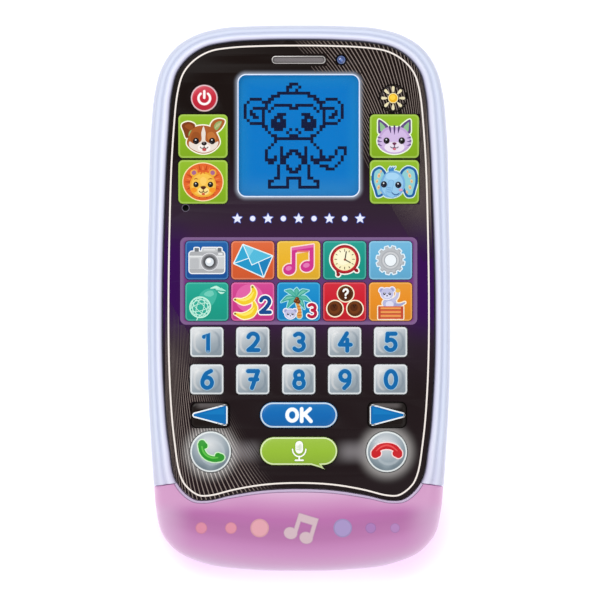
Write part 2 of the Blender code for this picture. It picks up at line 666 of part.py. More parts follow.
def make_door():
    look = material("door_lilac", (0.68, 0.71, 0.86), 0.4)
    middle = (BAY_LOW + BAY_HIGH) / 2
    length = BAY_HIGH - BAY_LOW - 2 * GAP
    whole = rounded_rect(DOOR_WIDTH, DOOR_HIGH - DOOR_LOW, 2.0, 3, (0, (DOOR_LOW + DOOR_HIGH) / 2))
    inner = rounded_rect(BAY_WIDTH - 2 * GAP, length, 0.6, 3, (0, middle))
    levels = [(whole, DOOR_BACK), (whole, DOOR_STEP), (inner, DOOR_STEP), (inner, FLOOR)]
    door = lattice_object("battery_door", [stack(levels)], look)
    boss = turned(((DOOR_BOSS_RADIUS, 0.5), (DOOR_BOSS_RADIUS, DOOR_BOSS_TOP)), 14,
                  (0.0, DOOR_SCREW_Y))
    combine(door, lattice_object("door_boss_tool", [boss]), "UNION")
    well = turned(((HEAD_RADIUS + 0.4, BELOW), (HEAD_RADIUS + 0.4, DOOR_WELL),
                   (PILOT_RADIUS, DOOR_WELL), (PILOT_RADIUS, DOOR_BOSS_TOP + 1)), 12,
                  (0.0, DOOR_SCREW_Y))
    combine(door, lattice_object("door_well_tool", [well]), "DIFFERENCE")


def make_screw(name, place, head_low, tip):
    """Pan-head screw along Z, with its head towards the back."""
    steel = material(name + "_steel", (0.55, 0.55, 0.57), 0.3, 1.0)
    profile = ((HEAD_RADIUS - 0.5, 0.0), (HEAD_RADIUS, 0.5), (HEAD_RADIUS, 1.3),
               (SHAFT_RADIUS, 1.5), (SHAFT_RADIUS, tip - head_low - 0.8), (0.4, tip - head_low))
    lattice_object(name, [turned(profile, 10)], steel, (*place, head_low))


# ---------------------------------------------------------------- the phone

def clear_scene():
    for item in list(bpy.data.objects):
        bpy.data.objects.remove(item, do_unlink=True)


def main():
    clear_scene()
    keys = key_table()
    make_front_housing()
    make_rear_housing()
    make_light_cover()
    make_faceplate(keys)
    make_screen()
    make_faceplate_details()
    for key in keys:
        make_key(key)
    make_boards()
    make_speaker()
    make_batteries()
    make_door()
    make_screw("battery_door_screw", (0.0, DOOR_SCREW_Y), DOOR_SCREW_LOW, DOOR_SCREW_TIP)
    for number, place in enumerate(SCREW_PLACES, 1):
        make_screw("housing_screw_%d" % number, place, SCREW_LOW, SCREW_TIP)


main()
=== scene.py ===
"""Looks of the toy cell phone: fine casing, printed faceplate, key caps with prints, glowing chin.

Everything here is worked out in millimetres, in the CAD model's frame, and scaled by MM.
"""
import math

import bmesh
import bpy
import numpy as np
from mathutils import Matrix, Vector
from mathutils.bvhtree import BVHTree
from mathutils.geometry import delaunay_2d_cdt


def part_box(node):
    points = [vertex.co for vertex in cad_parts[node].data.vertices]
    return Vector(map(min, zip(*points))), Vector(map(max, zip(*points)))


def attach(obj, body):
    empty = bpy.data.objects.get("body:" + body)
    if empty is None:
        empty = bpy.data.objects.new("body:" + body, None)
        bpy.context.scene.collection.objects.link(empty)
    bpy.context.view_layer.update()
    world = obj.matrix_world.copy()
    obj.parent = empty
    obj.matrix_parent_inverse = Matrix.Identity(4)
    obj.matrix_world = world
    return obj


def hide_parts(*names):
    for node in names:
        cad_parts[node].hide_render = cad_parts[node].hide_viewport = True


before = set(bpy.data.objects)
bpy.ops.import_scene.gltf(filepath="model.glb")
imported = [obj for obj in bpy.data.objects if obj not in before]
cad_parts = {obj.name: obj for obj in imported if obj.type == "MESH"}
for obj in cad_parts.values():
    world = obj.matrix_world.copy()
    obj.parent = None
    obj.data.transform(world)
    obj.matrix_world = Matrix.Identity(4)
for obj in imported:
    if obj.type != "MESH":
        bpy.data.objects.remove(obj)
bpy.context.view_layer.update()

MM = 0.001

# Casing outline, right half from top to bottom, as the CAD model has it: each row pairs a point
# on the outer edge with the point beside it on the edge of the faceplate.
OUTLINE = (
    ((0.0, 82.0), (0.0, 77.6)),
    ((13.0, 81.8), (12.0, 77.4)),
    ((24.0, 81.0), (21.5, 76.7)),
    ((31.8, 78.7), (28.0, 75.3)),
    ((37.6, 74.7), (33.0, 72.2)),
    ((41.4, 68.7), (36.4, 67.8)),
    ((43.2, 62.0), (38.0, 61.8)),
    ((44.3, 52.0), (38.9, 52.0)),
    ((45.1, 27.0), (40.2, 27.0)),
    ((45.5, 0.0), (40.9, 0.0)),
    ((45.2, -28.0), (40.4, -28.0)),
    ((44.3, -45.0), (38.9, -44.5)),
    ((43.5, -56.5), (36.5, -55.5)),
    ((42.8, -64.0), (34.2, -58.4)),
    ((41.0, -71.0), (31.0, -60.5)),
    ((36.6, -76.1), (27.5, -60.7)),
    ((28.5, -79.7), (21.0, -59.3)),
    ((15.0, -81.6), (11.0, -57.7)),
    ((0.0, -82.0), (0.0, -57.2)),
)
COVER_ROW = 12
JOINT_STEP = 0.02
ROW_STEPS = 6           # fine steps between two rows of OUTLINE

GAP = 0.3
FLOOR = 2.0
SEAM = 13.0
FLANGE_LOW = 18.7
FLANGE_TOP = 19.6
PANEL_LOW = 19.9
PANEL_TOP = 21.5
RIDGE_TOP = 22.5
CHIN_WALL = 3.5
COLLAR = 0.9
LEDGE = 1.6

NUMBER_SIZE = (10.0, 9.0, 1.1)
APP_SIZE = (12.95, 11.55, 1.2)
ANIMAL_SIZE = (14.8, 13.1, 1.4)
ARROW_SIZE = (11.4, 7.5, 1.6)
PILL_WIDTH = 23.2
OK_HEIGHT = 7.7
TALK_HEIGHT = 8.4
TALK_FLANGE = 0.4
CALL_RADIUS = 6.15
TOP_KEY_RADIUS = 4.05
SCREEN_Y = 48.8
SCREEN_SIZE = (36.0, 36.2, 2.2)
EARPIECE_SIZE = (15.6, 1.8)
APP_PANEL = (71.1, 26.2, 1.8)
APP_PANEL_Y = 5.2
CHIN_PRINT_Y = -68.9
ORNAMENT_Y = 23.9
CHIN_DIM = 0.64
CHIN_GLOW = 0.34


# ---------------------------------------------------------------- colours and materials

def rgb(red, green, blue):
    """Linear colour from display values between 0 and 255."""
    def linear(value):
        share = value / 255
        return share / 12.92 if share <= 0.04045 else ((share + 0.055) / 1.055) ** 2.4
    return linear(red), linear(green), linear(blue)


class Look:
    """A Principled material with short ways to add procedural nodes."""

    def __init__(self, name, colour, roughness=0.4, metallic=0.0, specular=0.5, coat=0.0):
        self.material = bpy.data.materials.new(name)
        self.material.use_nodes = True
        self.nodes = self.material.node_tree.nodes
        self.links = self.material.node_tree.links
        self.shader = self.nodes["Principled BSDF"]
        self.set("Base Color", (*colour, 1.0))
        self.set("Roughness", roughness)
        self.set("Metallic", metallic)
        self.set("Specular IOR Level", specular)
        self.set("Coat Weight", coat)
        self.set("Coat Roughness", 0.08)
        self.material.diffuse_color = (*colour, 1.0)

    def set(self, socket, value):
        self.shader.inputs[socket].default_value = value
        return self

    def link(self, value, socket):
        self.links.new(value, self.shader.inputs[socket])
        return self

    def math(self, operation, *values, clamp=False):
        node = self.nodes.new("ShaderNodeMath")
        node.operation = operation
        node.use_clamp = clamp
        for slot, value in zip(node.inputs, values):
            self.feed(slot, value)
        return node.outputs[0]

    def feed(self, slot, value):
        if isinstance(value, bpy.types.NodeSocket):
            self.links.new(value, slot)
        else:
            slot.default_value = value

    def position(self):
        """Object coordinates in millimetres, as separate x, y and z values."""
        place = self.nodes.new("ShaderNodeTexCoord")
        split = self.nodes.new("ShaderNodeSeparateXYZ")
        self.links.new(place.outputs["Object"], split.inputs[0])
        return [self.math("MULTIPLY", split.outputs[k], 1 / MM) for k in range(3)]

    def noise(self, scale, detail=2.0, stretch=(1.0, 1.0, 1.0)):
        place = self.nodes.new("ShaderNodeTexCoord")
        mapping = self.nodes.new("ShaderNodeMapping")
        mapping.inputs["Scale"].default_value = stretch
        node = self.nodes.new("ShaderNodeTexNoise")
        node.inputs["Scale"].default_value = scale / MM
        node.inputs["Detail"].default_value = detail
        self.links.new(place.outputs["Object"], mapping.inputs[0])
        self.links.new(mapping.outputs[0], node.inputs["Vector"])
        return node.outputs["Fac"]

    def ramp(self, value, stops):
        """Colour ramp from (position, colour) pairs."""
        node = self.nodes.new("ShaderNodeValToRGB")
        ramp = node.color_ramp
        while len(ramp.elements) < len(stops):
            ramp.elements.new(0.5)
        for element, (at, colour) in zip(ramp.elements, stops):
            element.position = at
            element.color = (*colour, 1.0)
        self.links.new(value, node.inputs[0])
        return node.outputs[0]

    def fade(self, value, start, end):
        """0 at start and 1 at end, smooth between them."""
        node = self.nodes.new("ShaderNodeMapRange")
        node.interpolation_type = "SMOOTHSTEP"
        self.feed(node.inputs["Value"], value)
        node.inputs["From Min"].default_value = start
        node.inputs["From Max"].default_value = end
        return node.outputs[0]

    def mix(self, factor, first, second):
        node = self.nodes.new("ShaderNodeMix")
        node.data_type = "RGBA"
        self.feed(node.inputs[0], factor)
        for slot, value in ((node.inputs[6], first), (node.inputs[7], second)):
            self.feed(slot, value if isinstance(value, bpy.types.NodeSocket) else (*value, 1.0))
        return node.outputs[2]

    def bump(self, height, strength, distance):
        node = self.nodes.new("ShaderNodeBump")
        node.inputs["Strength"].default_value = strength
        node.inputs["Distance"].default_value = distance * MM
        self.links.new(height, node.inputs["Height"])
        self.links.new(node.outputs[0], self.shader.inputs["Normal"])
        return self

    def box_distance(self, x, y, centre, size, radius):
        """Distance outside a rounded rectangle, negative inside."""
        sides = []
        for value, middle, full in ((x, centre[0], size[0]), (y, centre[1], size[1])):
            away = self.math("ABSOLUTE", self.math("SUBTRACT", value, middle))
            sides.append(self.math("SUBTRACT", away, full / 2 - radius))
        outside = [self.math("MAXIMUM", side, 0.0) for side in sides]
        squares = [self.math("MULTIPLY", side, side) for side in outside]
        far = self.math("SQRT", self.math("ADD", *squares))
        near = self.math("MINIMUM", self.math("MAXIMUM", *sides), 0.0)
        return self.math("SUBTRACT", self.math("ADD", far, near), radius)

    def circle_distance(self, x, y, centre, radius):
        dx = self.math("SUBTRACT", x, centre[0])
        dy = self.math("SUBTRACT", y, centre[1])
        square = self.math("ADD", self.math("MULTIPLY", dx, dx), self.math("MULTIPLY", dy, dy))
        return self.math("SUBTRACT", self.math("SQRT", square), radius)


def moulded(name, colour, roughness=0.35, grain=0.9, depth=0.02, change=0.03, coat=0.0):
    """Moulded plastic: faint cloudiness in the colour and a fine grain on the surface."""
    look = Look(name, colour, roughness, coat=coat)
    cloud = look.noise(0.06, 3.0)
    darker = tuple(part * (1 - change) for part in colour)
    lighter = tuple(min(part * (1 + change), 1.0) for part in colour)
    look.link(look.mix(cloud, darker, lighter), "Base Color")
    look.bump(look.noise(grain, 2.0), 0.25, depth)
    return look.material


def brushed(name, colour, roughness=0.3):
    """Plated steel with fine drawn lines."""
    look = Look(name, colour, roughness, metallic=1.0)
    lines = look.noise(1.2, 2.0, (1.0, 0.08, 1.0))
    darker = tuple(part * 0.8 for part in colour)
    look.link(look.mix(lines, darker, colour), "Base Color")
    look.bump(lines, 0.15, 0.02)
    return look.material


INKS = {}


def deep(red, green, blue, power=1.12, share=1.0):
    """Colour with its darker parts a little deeper, as glossy ink shows it."""
    return tuple(share * part ** power for part in rgb(red, green, blue))


def ink(red, green, blue):
    """Glossy printed ink, one material for each colour."""
    key = (red, green, blue)
    if key not in INKS:
        look = Look("ink_%d_%d_%d" % key, deep(*key), 0.3, specular=0.15)
        look.link(look.math("MULTIPLY_ADD", look.noise(0.8, 2.0), 0.14, 0.26), "Roughness")
        INKS[key] = look.material
    return INKS[key]


# ---------------------------------------------------------------- curves and outlines

def closed_outline(side):
    right = [row[side] for row in OUTLINE]
    left = [(-x, y) for x, y in right[-2:0:-1]]
    return [Vector(point) for point in right + left]


OUTER_EDGE = closed_outline(0)
PANEL_EDGE = closed_outline(1)
ROWS_ROUND = len(OUTER_EDGE)


def on_curve(points, at):
    """Point on the smooth closed curve through the points, where at counts points."""
    count = len(points)
    first = math.floor(at)
    f = at - first
    p0, p1, p2, p3 = (points[(first + step) % count] for step in (-1, 0, 1, 2))
    d0 = (p1 - p0).length
    d1 = (p2 - p1).length
    d2 = (p3 - p2).length
    tangent1 = ((p2 - p1) * (d0 / d1) + (p1 - p0) * (d1 / d0)) / (d0 + d1) * d1
    tangent2 = ((p3 - p2) * (d1 / d2) + (p2 - p1) * (d2 / d1)) / (d1 + d2) * d1
    start = p1 * (2 * f ** 3 - 3 * f ** 2 + 1) + tangent1 * (f ** 3 - 2 * f ** 2 + f)
    end = p2 * (3 * f ** 2 - 2 * f ** 3) + tangent2 * (f ** 3 - f ** 2)
    return start + end


def casing_point(at, across, inwards, z):
    """Point on the casing: across 0 is the outer edge and 1 the faceplate edge, at that row."""
    outer = on_curve(OUTER_EDGE, at)
    panel = on_curve(PANEL_EDGE, at)
    direction = (panel - outer).normalized()
    place = outer.lerp(panel, across) + direction * inwards
    return place.x, place.y, z


def rows_between(start, end, steps=ROW_STEPS):
    """Fine steps strictly between two row values, with both ends added."""
    inner = [k / steps for k in range(math.floor(start * steps) + 1, math.ceil(end * steps))]
    return [start] + inner + [end]


def smooth_closed(points, per_span=5):
    spots = [Vector(point) for point in points]
    return [tuple(on_curve(spots, k / per_span)) for k in range(len(spots) * per_span)]


def smooth_open(points, per_span=5):
    """Smooth curve through the points, with its ends mirrored."""
    spots = [Vector(point) for point in points]
    spots = [spots[0] * 2 - spots[1]] + spots + [spots[-1] * 2 - spots[-2]]
    spans = len(points) - 1
    steps = [1 + k / per_span for k in range(spans * per_span)] + [spans + 0.999999]
    return [tuple(on_curve(spots, at)) for at in steps]


def rounded_rect(width, height, radius, per_corner=8, centre=(0.0, 0.0)):
    points = []
    for corner, (sx, sy) in enumerate(((1, 1), (-1, 1), (-1, -1), (1, -1))):
        cx = centre[0] + sx * (width / 2 - radius)
        cy = centre[1] + sy * (height / 2 - radius)
        for step in range(per_corner):
            angle = math.pi / 2 * (corner + step / (per_corner - 1))
            points.append((cx + radius * math.cos(angle), cy + radius * math.sin(angle)))
    return points


def stadium(width, height, per_corner=12, centre=(0.0, 0.0)):
    return rounded_rect(width, height, height / 2 - 0.02, per_corner, centre)


def circle(radius, count=40, centre=(0.0, 0.0)):
    turn = 2 * math.pi / count
    return [(centre[0] + radius * math.cos(k * turn), centre[1] + radius * math.sin(k * turn))
            for k in range(count)]


def arc(cx, cy, rx, ry, start, end, count=14):
    """Points along an ellipse between two angles in degrees."""
    points = []
    for k in range(count):
        angle = math.radians(start + (end - start) * k / (count - 1))
        points.append((cx + rx * math.cos(angle), cy + ry * math.sin(angle)))
    return points


# ---------------------------------------------------------------- objects

def piece(name, mesh, material, body, at=(0.0, 0.0, 0.0), nodes=()):
    """Object in millimetre place that rides on a body and may stand for CAD nodes."""
    made = bpy.data.objects.new(name, mesh)
    bpy.context.scene.collection.objects.link(made)
    made.location = Vector(at) * MM
    if material is not None:
        mesh.materials.append(material)
    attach(made, body)
    if nodes:
        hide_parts(*nodes)
    return made


def mesh_of(name, bm, sharp=30.0):
    bmesh.ops.recalc_face_normals(bm, faces=bm.faces)
    mesh = bpy.data.meshes.new(name)
    bm.to_mesh(mesh)
    bm.free()
    mesh.shade_smooth()
    mesh.set_sharp_from_angle(angle=math.radians(sharp))
    return mesh


def add_lattice(bm, rows, ring=False, caps=True):
    """Skin rows of points, each row a closed loop; a ring joins its last row to its first."""
    verts = [[bm.verts.new(Vector(point) * MM) for point in row] for row in rows]
    pairs = list(zip(verts, verts[1:]))
    if ring:
        pairs.append((verts[-1], verts[0]))
    for low, high in pairs:
        for k in range(len(low)):
            after = (k + 1) % len(low)
            bm.faces.new((low[k], low[after], high[after], high[k]))
    if caps and not ring:
        bm.faces.new(verts[0])
        bm.faces.new(verts[-1])


def lattice_mesh(name, bodies, ring=False, sharp=30.0):
    bm = bmesh.new()
    for rows in bodies:
        add_lattice(bm, rows, ring)
    return mesh_of(name, bm, sharp)


def stack(levels):
    return [[(x, y, z) for x, y in outline] for outline, z in levels]


def turned(profile, count=32, centre=(0.0, 0.0)):
    return stack([(circle(radius, count, centre), z) for radius, z in profile])


def plate_mesh(name, outlines, low, high, bevel=0.0):
    """Flat plate with holes: the first outline is its edge, the others are holes."""
    curve = bpy.data.curves.new(name, "CURVE")
    curve.dimensions = "2D"
    curve.fill_mode = "BOTH"
    curve.extrude = ((high - low) / 2 - bevel) * MM
    curve.bevel_depth = bevel * MM
    curve.offset = -bevel * MM
    curve.bevel_resolution = 1
    for outline in outlines:
        spline = curve.splines.new("POLY")
        spline.points.add(len(outline) - 1)
        for point, (x, y) in zip(spline.points, outline):
            point.co = (x * MM, y * MM, 0.0, 1.0)
        spline.use_cyclic_u = True
    helper = bpy.data.objects.new(name, curve)
    bpy.context.scene.collection.objects.link(helper)
    bpy.context.view_layer.update()
    mesh = bpy.data.meshes.new_from_object(helper.evaluated_get(
        bpy.context.evaluated_depsgraph_get()))
    bpy.data.objects.remove(helper)
    middle = (low + high) / 2 * MM
    for vertex in mesh.vertices:
        vertex.co.z += middle
    bm = bmesh.new()
    bm.from_mesh(mesh)
    bmesh.ops.remove_doubles(bm, verts=bm.verts, dist=0.001 * MM)
    return mesh_of(name, bm)


def cut(mesh, tools, sharp=30):
    """Mesh after Booleans with (operation, tool mesh) pairs."""
    base = bpy.data.objects.new("base", mesh)
    bpy.context.scene.collection.objects.link(base)
    helpers = []
    for operation, tool in tools:
        helper = bpy.data.objects.new("tool", tool)
        bpy.context.scene.collection.objects.link(helper)
        helpers.append(helper)
        modifier = base.modifiers.new("cut", "BOOLEAN")
        modifier.operation = operation
        modifier.solver = "EXACT"
        modifier.object = helper
    bpy.context.view_layer.update()
    done = bpy.data.meshes.new_from_object(base.evaluated_get(
        bpy.context.evaluated_depsgraph_get()))
    for helper in helpers + [base]:
        bpy.data.objects.remove(helper)
    done.materials.clear()
    done.shade_smooth()
    done.set_sharp_from_angle(angle=math.radians(sharp))
    return done


def surface_under(mesh, at=(0.0, 0.0, 0.0)):
    """Function that gives the height of a mesh's upper surface over a place, in millimetres."""
    spots = [vertex.co / MM + Vector(at) for vertex in mesh.vertices]
    tree = BVHTree.FromPolygons(spots, [face.vertices for face in mesh.polygons])

    def height(x, y):
        hit = tree.ray_cast(Vector((x, y, 60.0)), Vector((0.0, 0.0, -1.0)))[0]
        return hit.z if hit else None
    return height


# ---------------------------------------------------------------- casing

def casing_rows(full, lower):
    """Sections all round: full above the light cover's ends and lower between them."""
    split = COVER_ROW - JOINT_STEP
    upper = [(at, full) for at in rows_between(ROWS_ROUND - split, ROWS_ROUND + split)]
    chin = [(at, lower) for at in rows_between(COVER_ROW, ROWS_ROUND - COVER_ROW)]
    return [[casing_point(at, *point) for point in section] for at, section in upper + chin]


COLLAR_SHARE = 1.25


def make_front_housing():
    """Ring with two soft ridges, a ledge inside and a thin collar below the faceplate."""
    brow = smooth_open(((0.0, 0.0, 16.2), (0.03, 0.0, 18.8), (0.14, 0.0, 20.2), (0.30, 0.0, 20.95),
                        (0.42, 0.0, 20.9), (0.50, 0.0, 20.72), (0.60, 0.0, 21.2),
                        (0.70, 0.0, 22.2), (0.80, 0.0, RIDGE_TOP), (0.91, 0.0, 22.3),
                        (0.975, 0.0, 21.9), (1.0, 0.0, 21.3)), 4)
    full = [(0.0, 0.25, SEAM + GAP), (0.0, 0.0, SEAM + GAP + 0.3)] + brow
    inner = [(1.0, 0.0, FLANGE_TOP), (1.0, LEDGE, FLANGE_TOP), (1.0, LEDGE, 17.6),
             (1.0, -0.6, 17.4), (0.0, 2.0, 16.0), (0.0, 2.0, SEAM + GAP)]
    steps = len(full)
    lip = [(1.0, -COLLAR, 17.6 + (21.5 - 17.6) * k / (steps - 6)) for k in range(steps - 5)]
    lip += [(1.0, -COLLAR + 0.1, 21.75), (1.0, -COLLAR + 0.28, 21.9), (1.0, -0.3, 21.9),
            (1.0, -0.08, 21.75), (1.0, 0.0, 21.3)]
    under = [(1.0, 0.0, FLANGE_TOP), (1.0, LEDGE, FLANGE_TOP), (1.0, LEDGE, 17.6),
             (1.0, 0.8, 17.6), (1.0, 0.0, 17.6), (1.0, -0.45, 17.6)]
    rows = casing_rows(full + inner, lip + under)
    mesh = lattice_mesh("front_housing_fine", [rows], True, 40)
    shares = [point[0] for point in full + inner]
    split = COVER_ROW - JOINT_STEP
    upper = len(rows_between(ROWS_ROUND - split, ROWS_ROUND + split))
    shares = shares * upper + [COLLAR_SHARE] * len(shares) * (len(rows) - upper)
    layer = mesh.attributes.new("across", "FLOAT", "POINT")
    layer.data.foreach_set("value", shares)
    places = [node_circle("housing_screw_%d" % number) for number in (1, 2, 3, 4)]
    bosses = [turned(((3.0, SEAM + GAP), (3.0, 18.6)), 28, place) for place in places]
    pilots = [turned(((1.6, SEAM - 1), (1.6, 17.0)), 20, place) for place in places]
    mesh = cut(mesh, [("UNION", lattice_mesh("bosses", bosses)),
                      ("DIFFERENCE", lattice_mesh("pilots", pilots))], 40)
    piece("front_shell", mesh, ring_material(), "root",
          nodes=("front_housing",))


def ring_material():
    """Lilac-white plastic with painted light and shade across its profile: painted highlights on the
    two ridges, painted shade in the valley and on the steep edge beside the faceplate.
    """
    look = Look("lilac_front", rgb(212, 217, 240), 0.3, specular=0.3, coat=0.15)
    x, y, z = look.position()
    across = look.nodes.new("ShaderNodeAttribute")
    across.attribute_name = "across"
    place = look.math("DIVIDE", across.outputs["Fac"], COLLAR_SHARE, clamp=True)
    # painted highlights on the ridges and painted shade in the valley and on the steep edge, set by
    # the share across the profile
    painted_light_tones = ((0.0, (193, 198, 219)), (0.10, (191, 196, 217)), (0.22, (203, 210, 231)),
             (0.34, (224, 231, 248)), (0.45, (213, 219, 239)), (0.53, (204, 211, 231)),
             (0.63, (226, 231, 249)), (0.73, (232, 235, 253)), (0.82, (219, 221, 242)),
             (0.89, (200, 200, 224)), (0.95, (148, 146, 170)), (1.0, (104, 102, 124)),
             (COLLAR_SHARE, (186, 164, 196)))
    base = look.ramp(place, [(at / COLLAR_SHARE, rgb(*tone)) for at, tone in painted_light_tones])
    base = look.mix(look.fade(z, 20.5, 17.5), base, rgb(212, 217, 240))
    warm = look.math("MULTIPLY", look.fade(y, -38.0, -62.0), 0.35)
    base = look.mix(warm, base, rgb(214, 198, 226))
    base = look.mix(look.math("MULTIPLY", look.noise(0.05, 3.0), 0.10), base, rgb(196, 200, 224))
    look.link(base, "Base Color")
    look.bump(look.noise(0.9, 2.0), 0.12, 0.012)
    return look.material


def node_circle(node):
    """Centre of a node's box, in millimetres."""
    low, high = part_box(node)
    return (low.x + high.x) / 2 / MM, (low.y + high.y) / 2 / MM


BAY_WIDTH = 22.8
BAY_ROOF = 13.2
BAY_WALL = 1.2
BOSS_RADIUS = 4.4
BOSS_START = 1.0
PILOT_RADIUS = 1.6
CUT_START = -1.0
GRILLE_PITCH = 3.6
GRILLE_HOLE = 1.1


def battery_bay():
    """Middle and length, along the phone, of the recess that the cells lie in."""
    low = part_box("battery_left")[0].y / MM
    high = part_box("battery_right")[1].y / MM
    return (low + high) / 2 - 0.5, high - low + 5.5


def make_rear_housing():
    """Back shell with the battery recess, screw wells and speaker grille cut into it."""
    bowl = smooth_open(((4.0, 0.0), (2.7, 0.18), (1.7, 0.8), (0.6, 2.5), (0.1, 5.0),
                        (0.0, 8.0)), 4)
    full = [(0.0, inwards, z) for inwards, z in bowl]
    full += [(0.0, 0.0, SEAM - 0.3), (0.0, 0.25, SEAM), (0.0, 2.0, SEAM), (0.0, 2.0, 6.0),
             (0.0, 2.8, 3.2), (0.0, 5.0, FLOOR)]
    steps = len(bowl)
    low_bowl = []
    for inwards, z in bowl:
        share = min(z / 8.0, 1.0)
        low_bowl.append((0.0, 0.42 + 3.58 * (1 - share) ** 3.2, CHIN_WALL * share))
    chin = low_bowl + [(0.0, 0.42, CHIN_WALL)]
    chin = chin[:steps] + [(0.0, 0.6, CHIN_WALL), (0.0, 0.9, CHIN_WALL), (0.0, 2.42, CHIN_WALL),
                           (0.0, 2.5, 3.1), (0.0, 3.2, 2.5), (0.0, 5.0, FLOOR)]
    rows = list(zip(*casing_rows(full, chin)))
    shell = lattice_mesh("rear_housing_fine", [rows], sharp=40)

    low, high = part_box("battery_door")
    door = (high.x - low.x) / MM, (high.y - low.y) / MM
    centre = node_circle("battery_door")
    middle, length = battery_bay()
    screws = [node_circle("housing_screw_%d" % number) for number in (1, 2, 3, 4)]
    screw = node_circle("battery_door_screw")
    speaker = node_circle("speaker")

    box = rounded_rect(BAY_WIDTH + 2 * BAY_WALL, length + 2 * BAY_WALL, 1.4, 4, (0, middle))
    posts = [turned(((BOSS_RADIUS, BOSS_START), (BOSS_RADIUS, SEAM)), 28, place)
             for place in screws]
    posts.append(turned(((5.5, BOSS_START), (5.5, 9.0)), 28, screw))
    posts.append(stack([(box, BOSS_START), (box, BAY_ROOF + BAY_WALL)]))
    recess = rounded_rect(door[0] + 0.4, door[1] + 0.4, 2.2, 8, centre)
    cavity = rounded_rect(BAY_WIDTH, length, 0.8, 8, (0, middle))
    bay = stack([(recess, CUT_START), (recess, 1.3), (cavity, 1.3), (cavity, BAY_ROOF)])
    well = ((3.5, CUT_START), (3.5, 0.001), (3.2, 0.3), (3.2, 3.0), (PILOT_RADIUS, 3.0),
            (PILOT_RADIUS, SEAM + 1))
    holes = [turned(well, 28, place) for place in screws]
    door_well = ((4.4, 0.5), (4.4, 3.3), (PILOT_RADIUS, 3.3), (PILOT_RADIUS, 8.0))
    holes.append(turned(door_well, 28, screw))
    drill = ((1.3, CUT_START), (1.3, 0.001), (GRILLE_HOLE, 0.2), (GRILLE_HOLE, FLOOR + 1))
    for ring, count in ((0, 1), (1, 6), (2, 12), (3, 12)):
        for place in circle(GRILLE_PITCH * ring, count, speaker)[:count]:
            holes.append(turned(drill, 16, place))
    mesh = cut(shell, [("UNION", lattice_mesh("posts", posts)),
                       ("DIFFERENCE", lattice_mesh("bay", [bay])),
                       ("DIFFERENCE", lattice_mesh("holes", holes))])
    piece("rear_shell", mesh, moulded("lilac_rear", rgb(208, 213, 238), 0.4, 1.6, 0.04),
          "root", nodes=("rear_housing",))


def make_battery_door():
    """Door with a finger grip of fine ribs, a screw well and rounded edges."""
    low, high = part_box("battery_door")
    width, length = (high.x - low.x) / MM, (high.y - low.y) / MM
    centre = node_circle("battery_door")
    screw = node_circle("battery_door_screw")
    middle, bay_length = battery_bay()
    inner = rounded_rect(BAY_WIDTH - 0.6, bay_length - 0.6, 0.6, 8, (0, middle))
    levels = [(rounded_rect(width - 0.5, length - 0.5, 1.75, 8, centre), 0.2),
              (rounded_rect(width - 0.15, length - 0.15, 1.92, 8, centre), 0.28),
              (rounded_rect(width, length, 2.0, 8, centre), 0.45),
              (rounded_rect(width, length, 2.0, 8, centre), 1.0), (inner, 1.0), (inner, FLOOR)]
    boss = turned(((4.1, 0.5), (4.1, 3.0)), 28, screw)
    well = turned(((3.2, CUT_START), (3.2, 0.2001), (3.0, 0.4), (3.0, 1.8), (PILOT_RADIUS, 1.8),
                   (PILOT_RADIUS, 4.0)), 28, screw)
    grooves = [stack([(stadium(11.0 - 0.9 * k, 0.8, 6, (0, centre[1] - length / 2 + 5 + 1.9 * k)),
                       z) for z in (-0.5, 0.5)]) for k in range(5)]
    mesh = cut(lattice_mesh("door", [stack(levels)]),
               [("UNION", lattice_mesh("boss", [boss])),
                ("DIFFERENCE", lattice_mesh("well", [well] + grooves))])
    piece("battery_cover", mesh, moulded("lilac_door", rgb(203, 208, 234), 0.42, 1.6, 0.04),
          "battery_door", nodes=("battery_door",))


def make_screw(node, body):
    """Pan head with a cross recess, on a plain shaft."""
    low, high = (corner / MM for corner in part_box(node))
    place = node_circle(node)
    height = high.z - low.z
    profile = ((1.5, 0.0), (2.1, 0.12), (2.45, 0.4), (2.6, 0.75), (2.6, 1.3), (1.25, 1.45),
               (1.25, height - 0.8), (0.4, height))
    arms = []
    for wide, tall in ((0.55, 2.6), (2.6, 0.55)):
        foot = rounded_rect(wide, tall, 0.15, 4)
        tip = rounded_rect(wide * 0.8, tall * 0.7, 0.12, 4)
        arms.append([(x, y, z) for outline, z in ((foot, -0.5), (tip, 0.9)) for x, y in outline])
    mesh = lattice_mesh("screw", [turned(profile, 32)])
    tools = []
    for arm in arms:
        half = len(arm) // 2
        tools.append(("DIFFERENCE", lattice_mesh("arm", [[arm[:half], arm[half:]]])))
    mesh = cut(mesh, tools)
    piece(node + "_fine", mesh, STEEL, body, (*place, low.z), (node,))


def cover_section(at):
    """Shell section of the light cover, from its low outer edge up and over to the collar."""
    outer = on_curve(OUTER_EDGE, at)
    panel = on_curve(PANEL_EDGE, at)
    reach = (panel - outer).length - COLLAR - 0.1
    low, high, wall, power = 11.0, 21.7, 2.0, 2.6
    points = [(0.5, CHIN_WALL + GAP), (0.34, CHIN_WALL + GAP + 0.15), (0.24, 4.8), (0.1, 6.0),
              (0.02, 8.5)]
    inside = [(x + wall, z) for x, z in points]
    for k in range(19):
        angle = math.pi / 2 * k / 18
        share = 1 - math.cos(angle) ** (2 / power)
        rise = math.sin(angle) ** (2 / power)
        points.append((share * reach, low + (high - low) * rise))
        inside.append((share * reach + wall * (1 - share),
                       low + (high - low) * rise - wall * (0.2 + 0.8 * rise)))
    loop = points + inside[::-1]
    return [casing_point(at, 0.0, distance, z) for distance, z in loop]


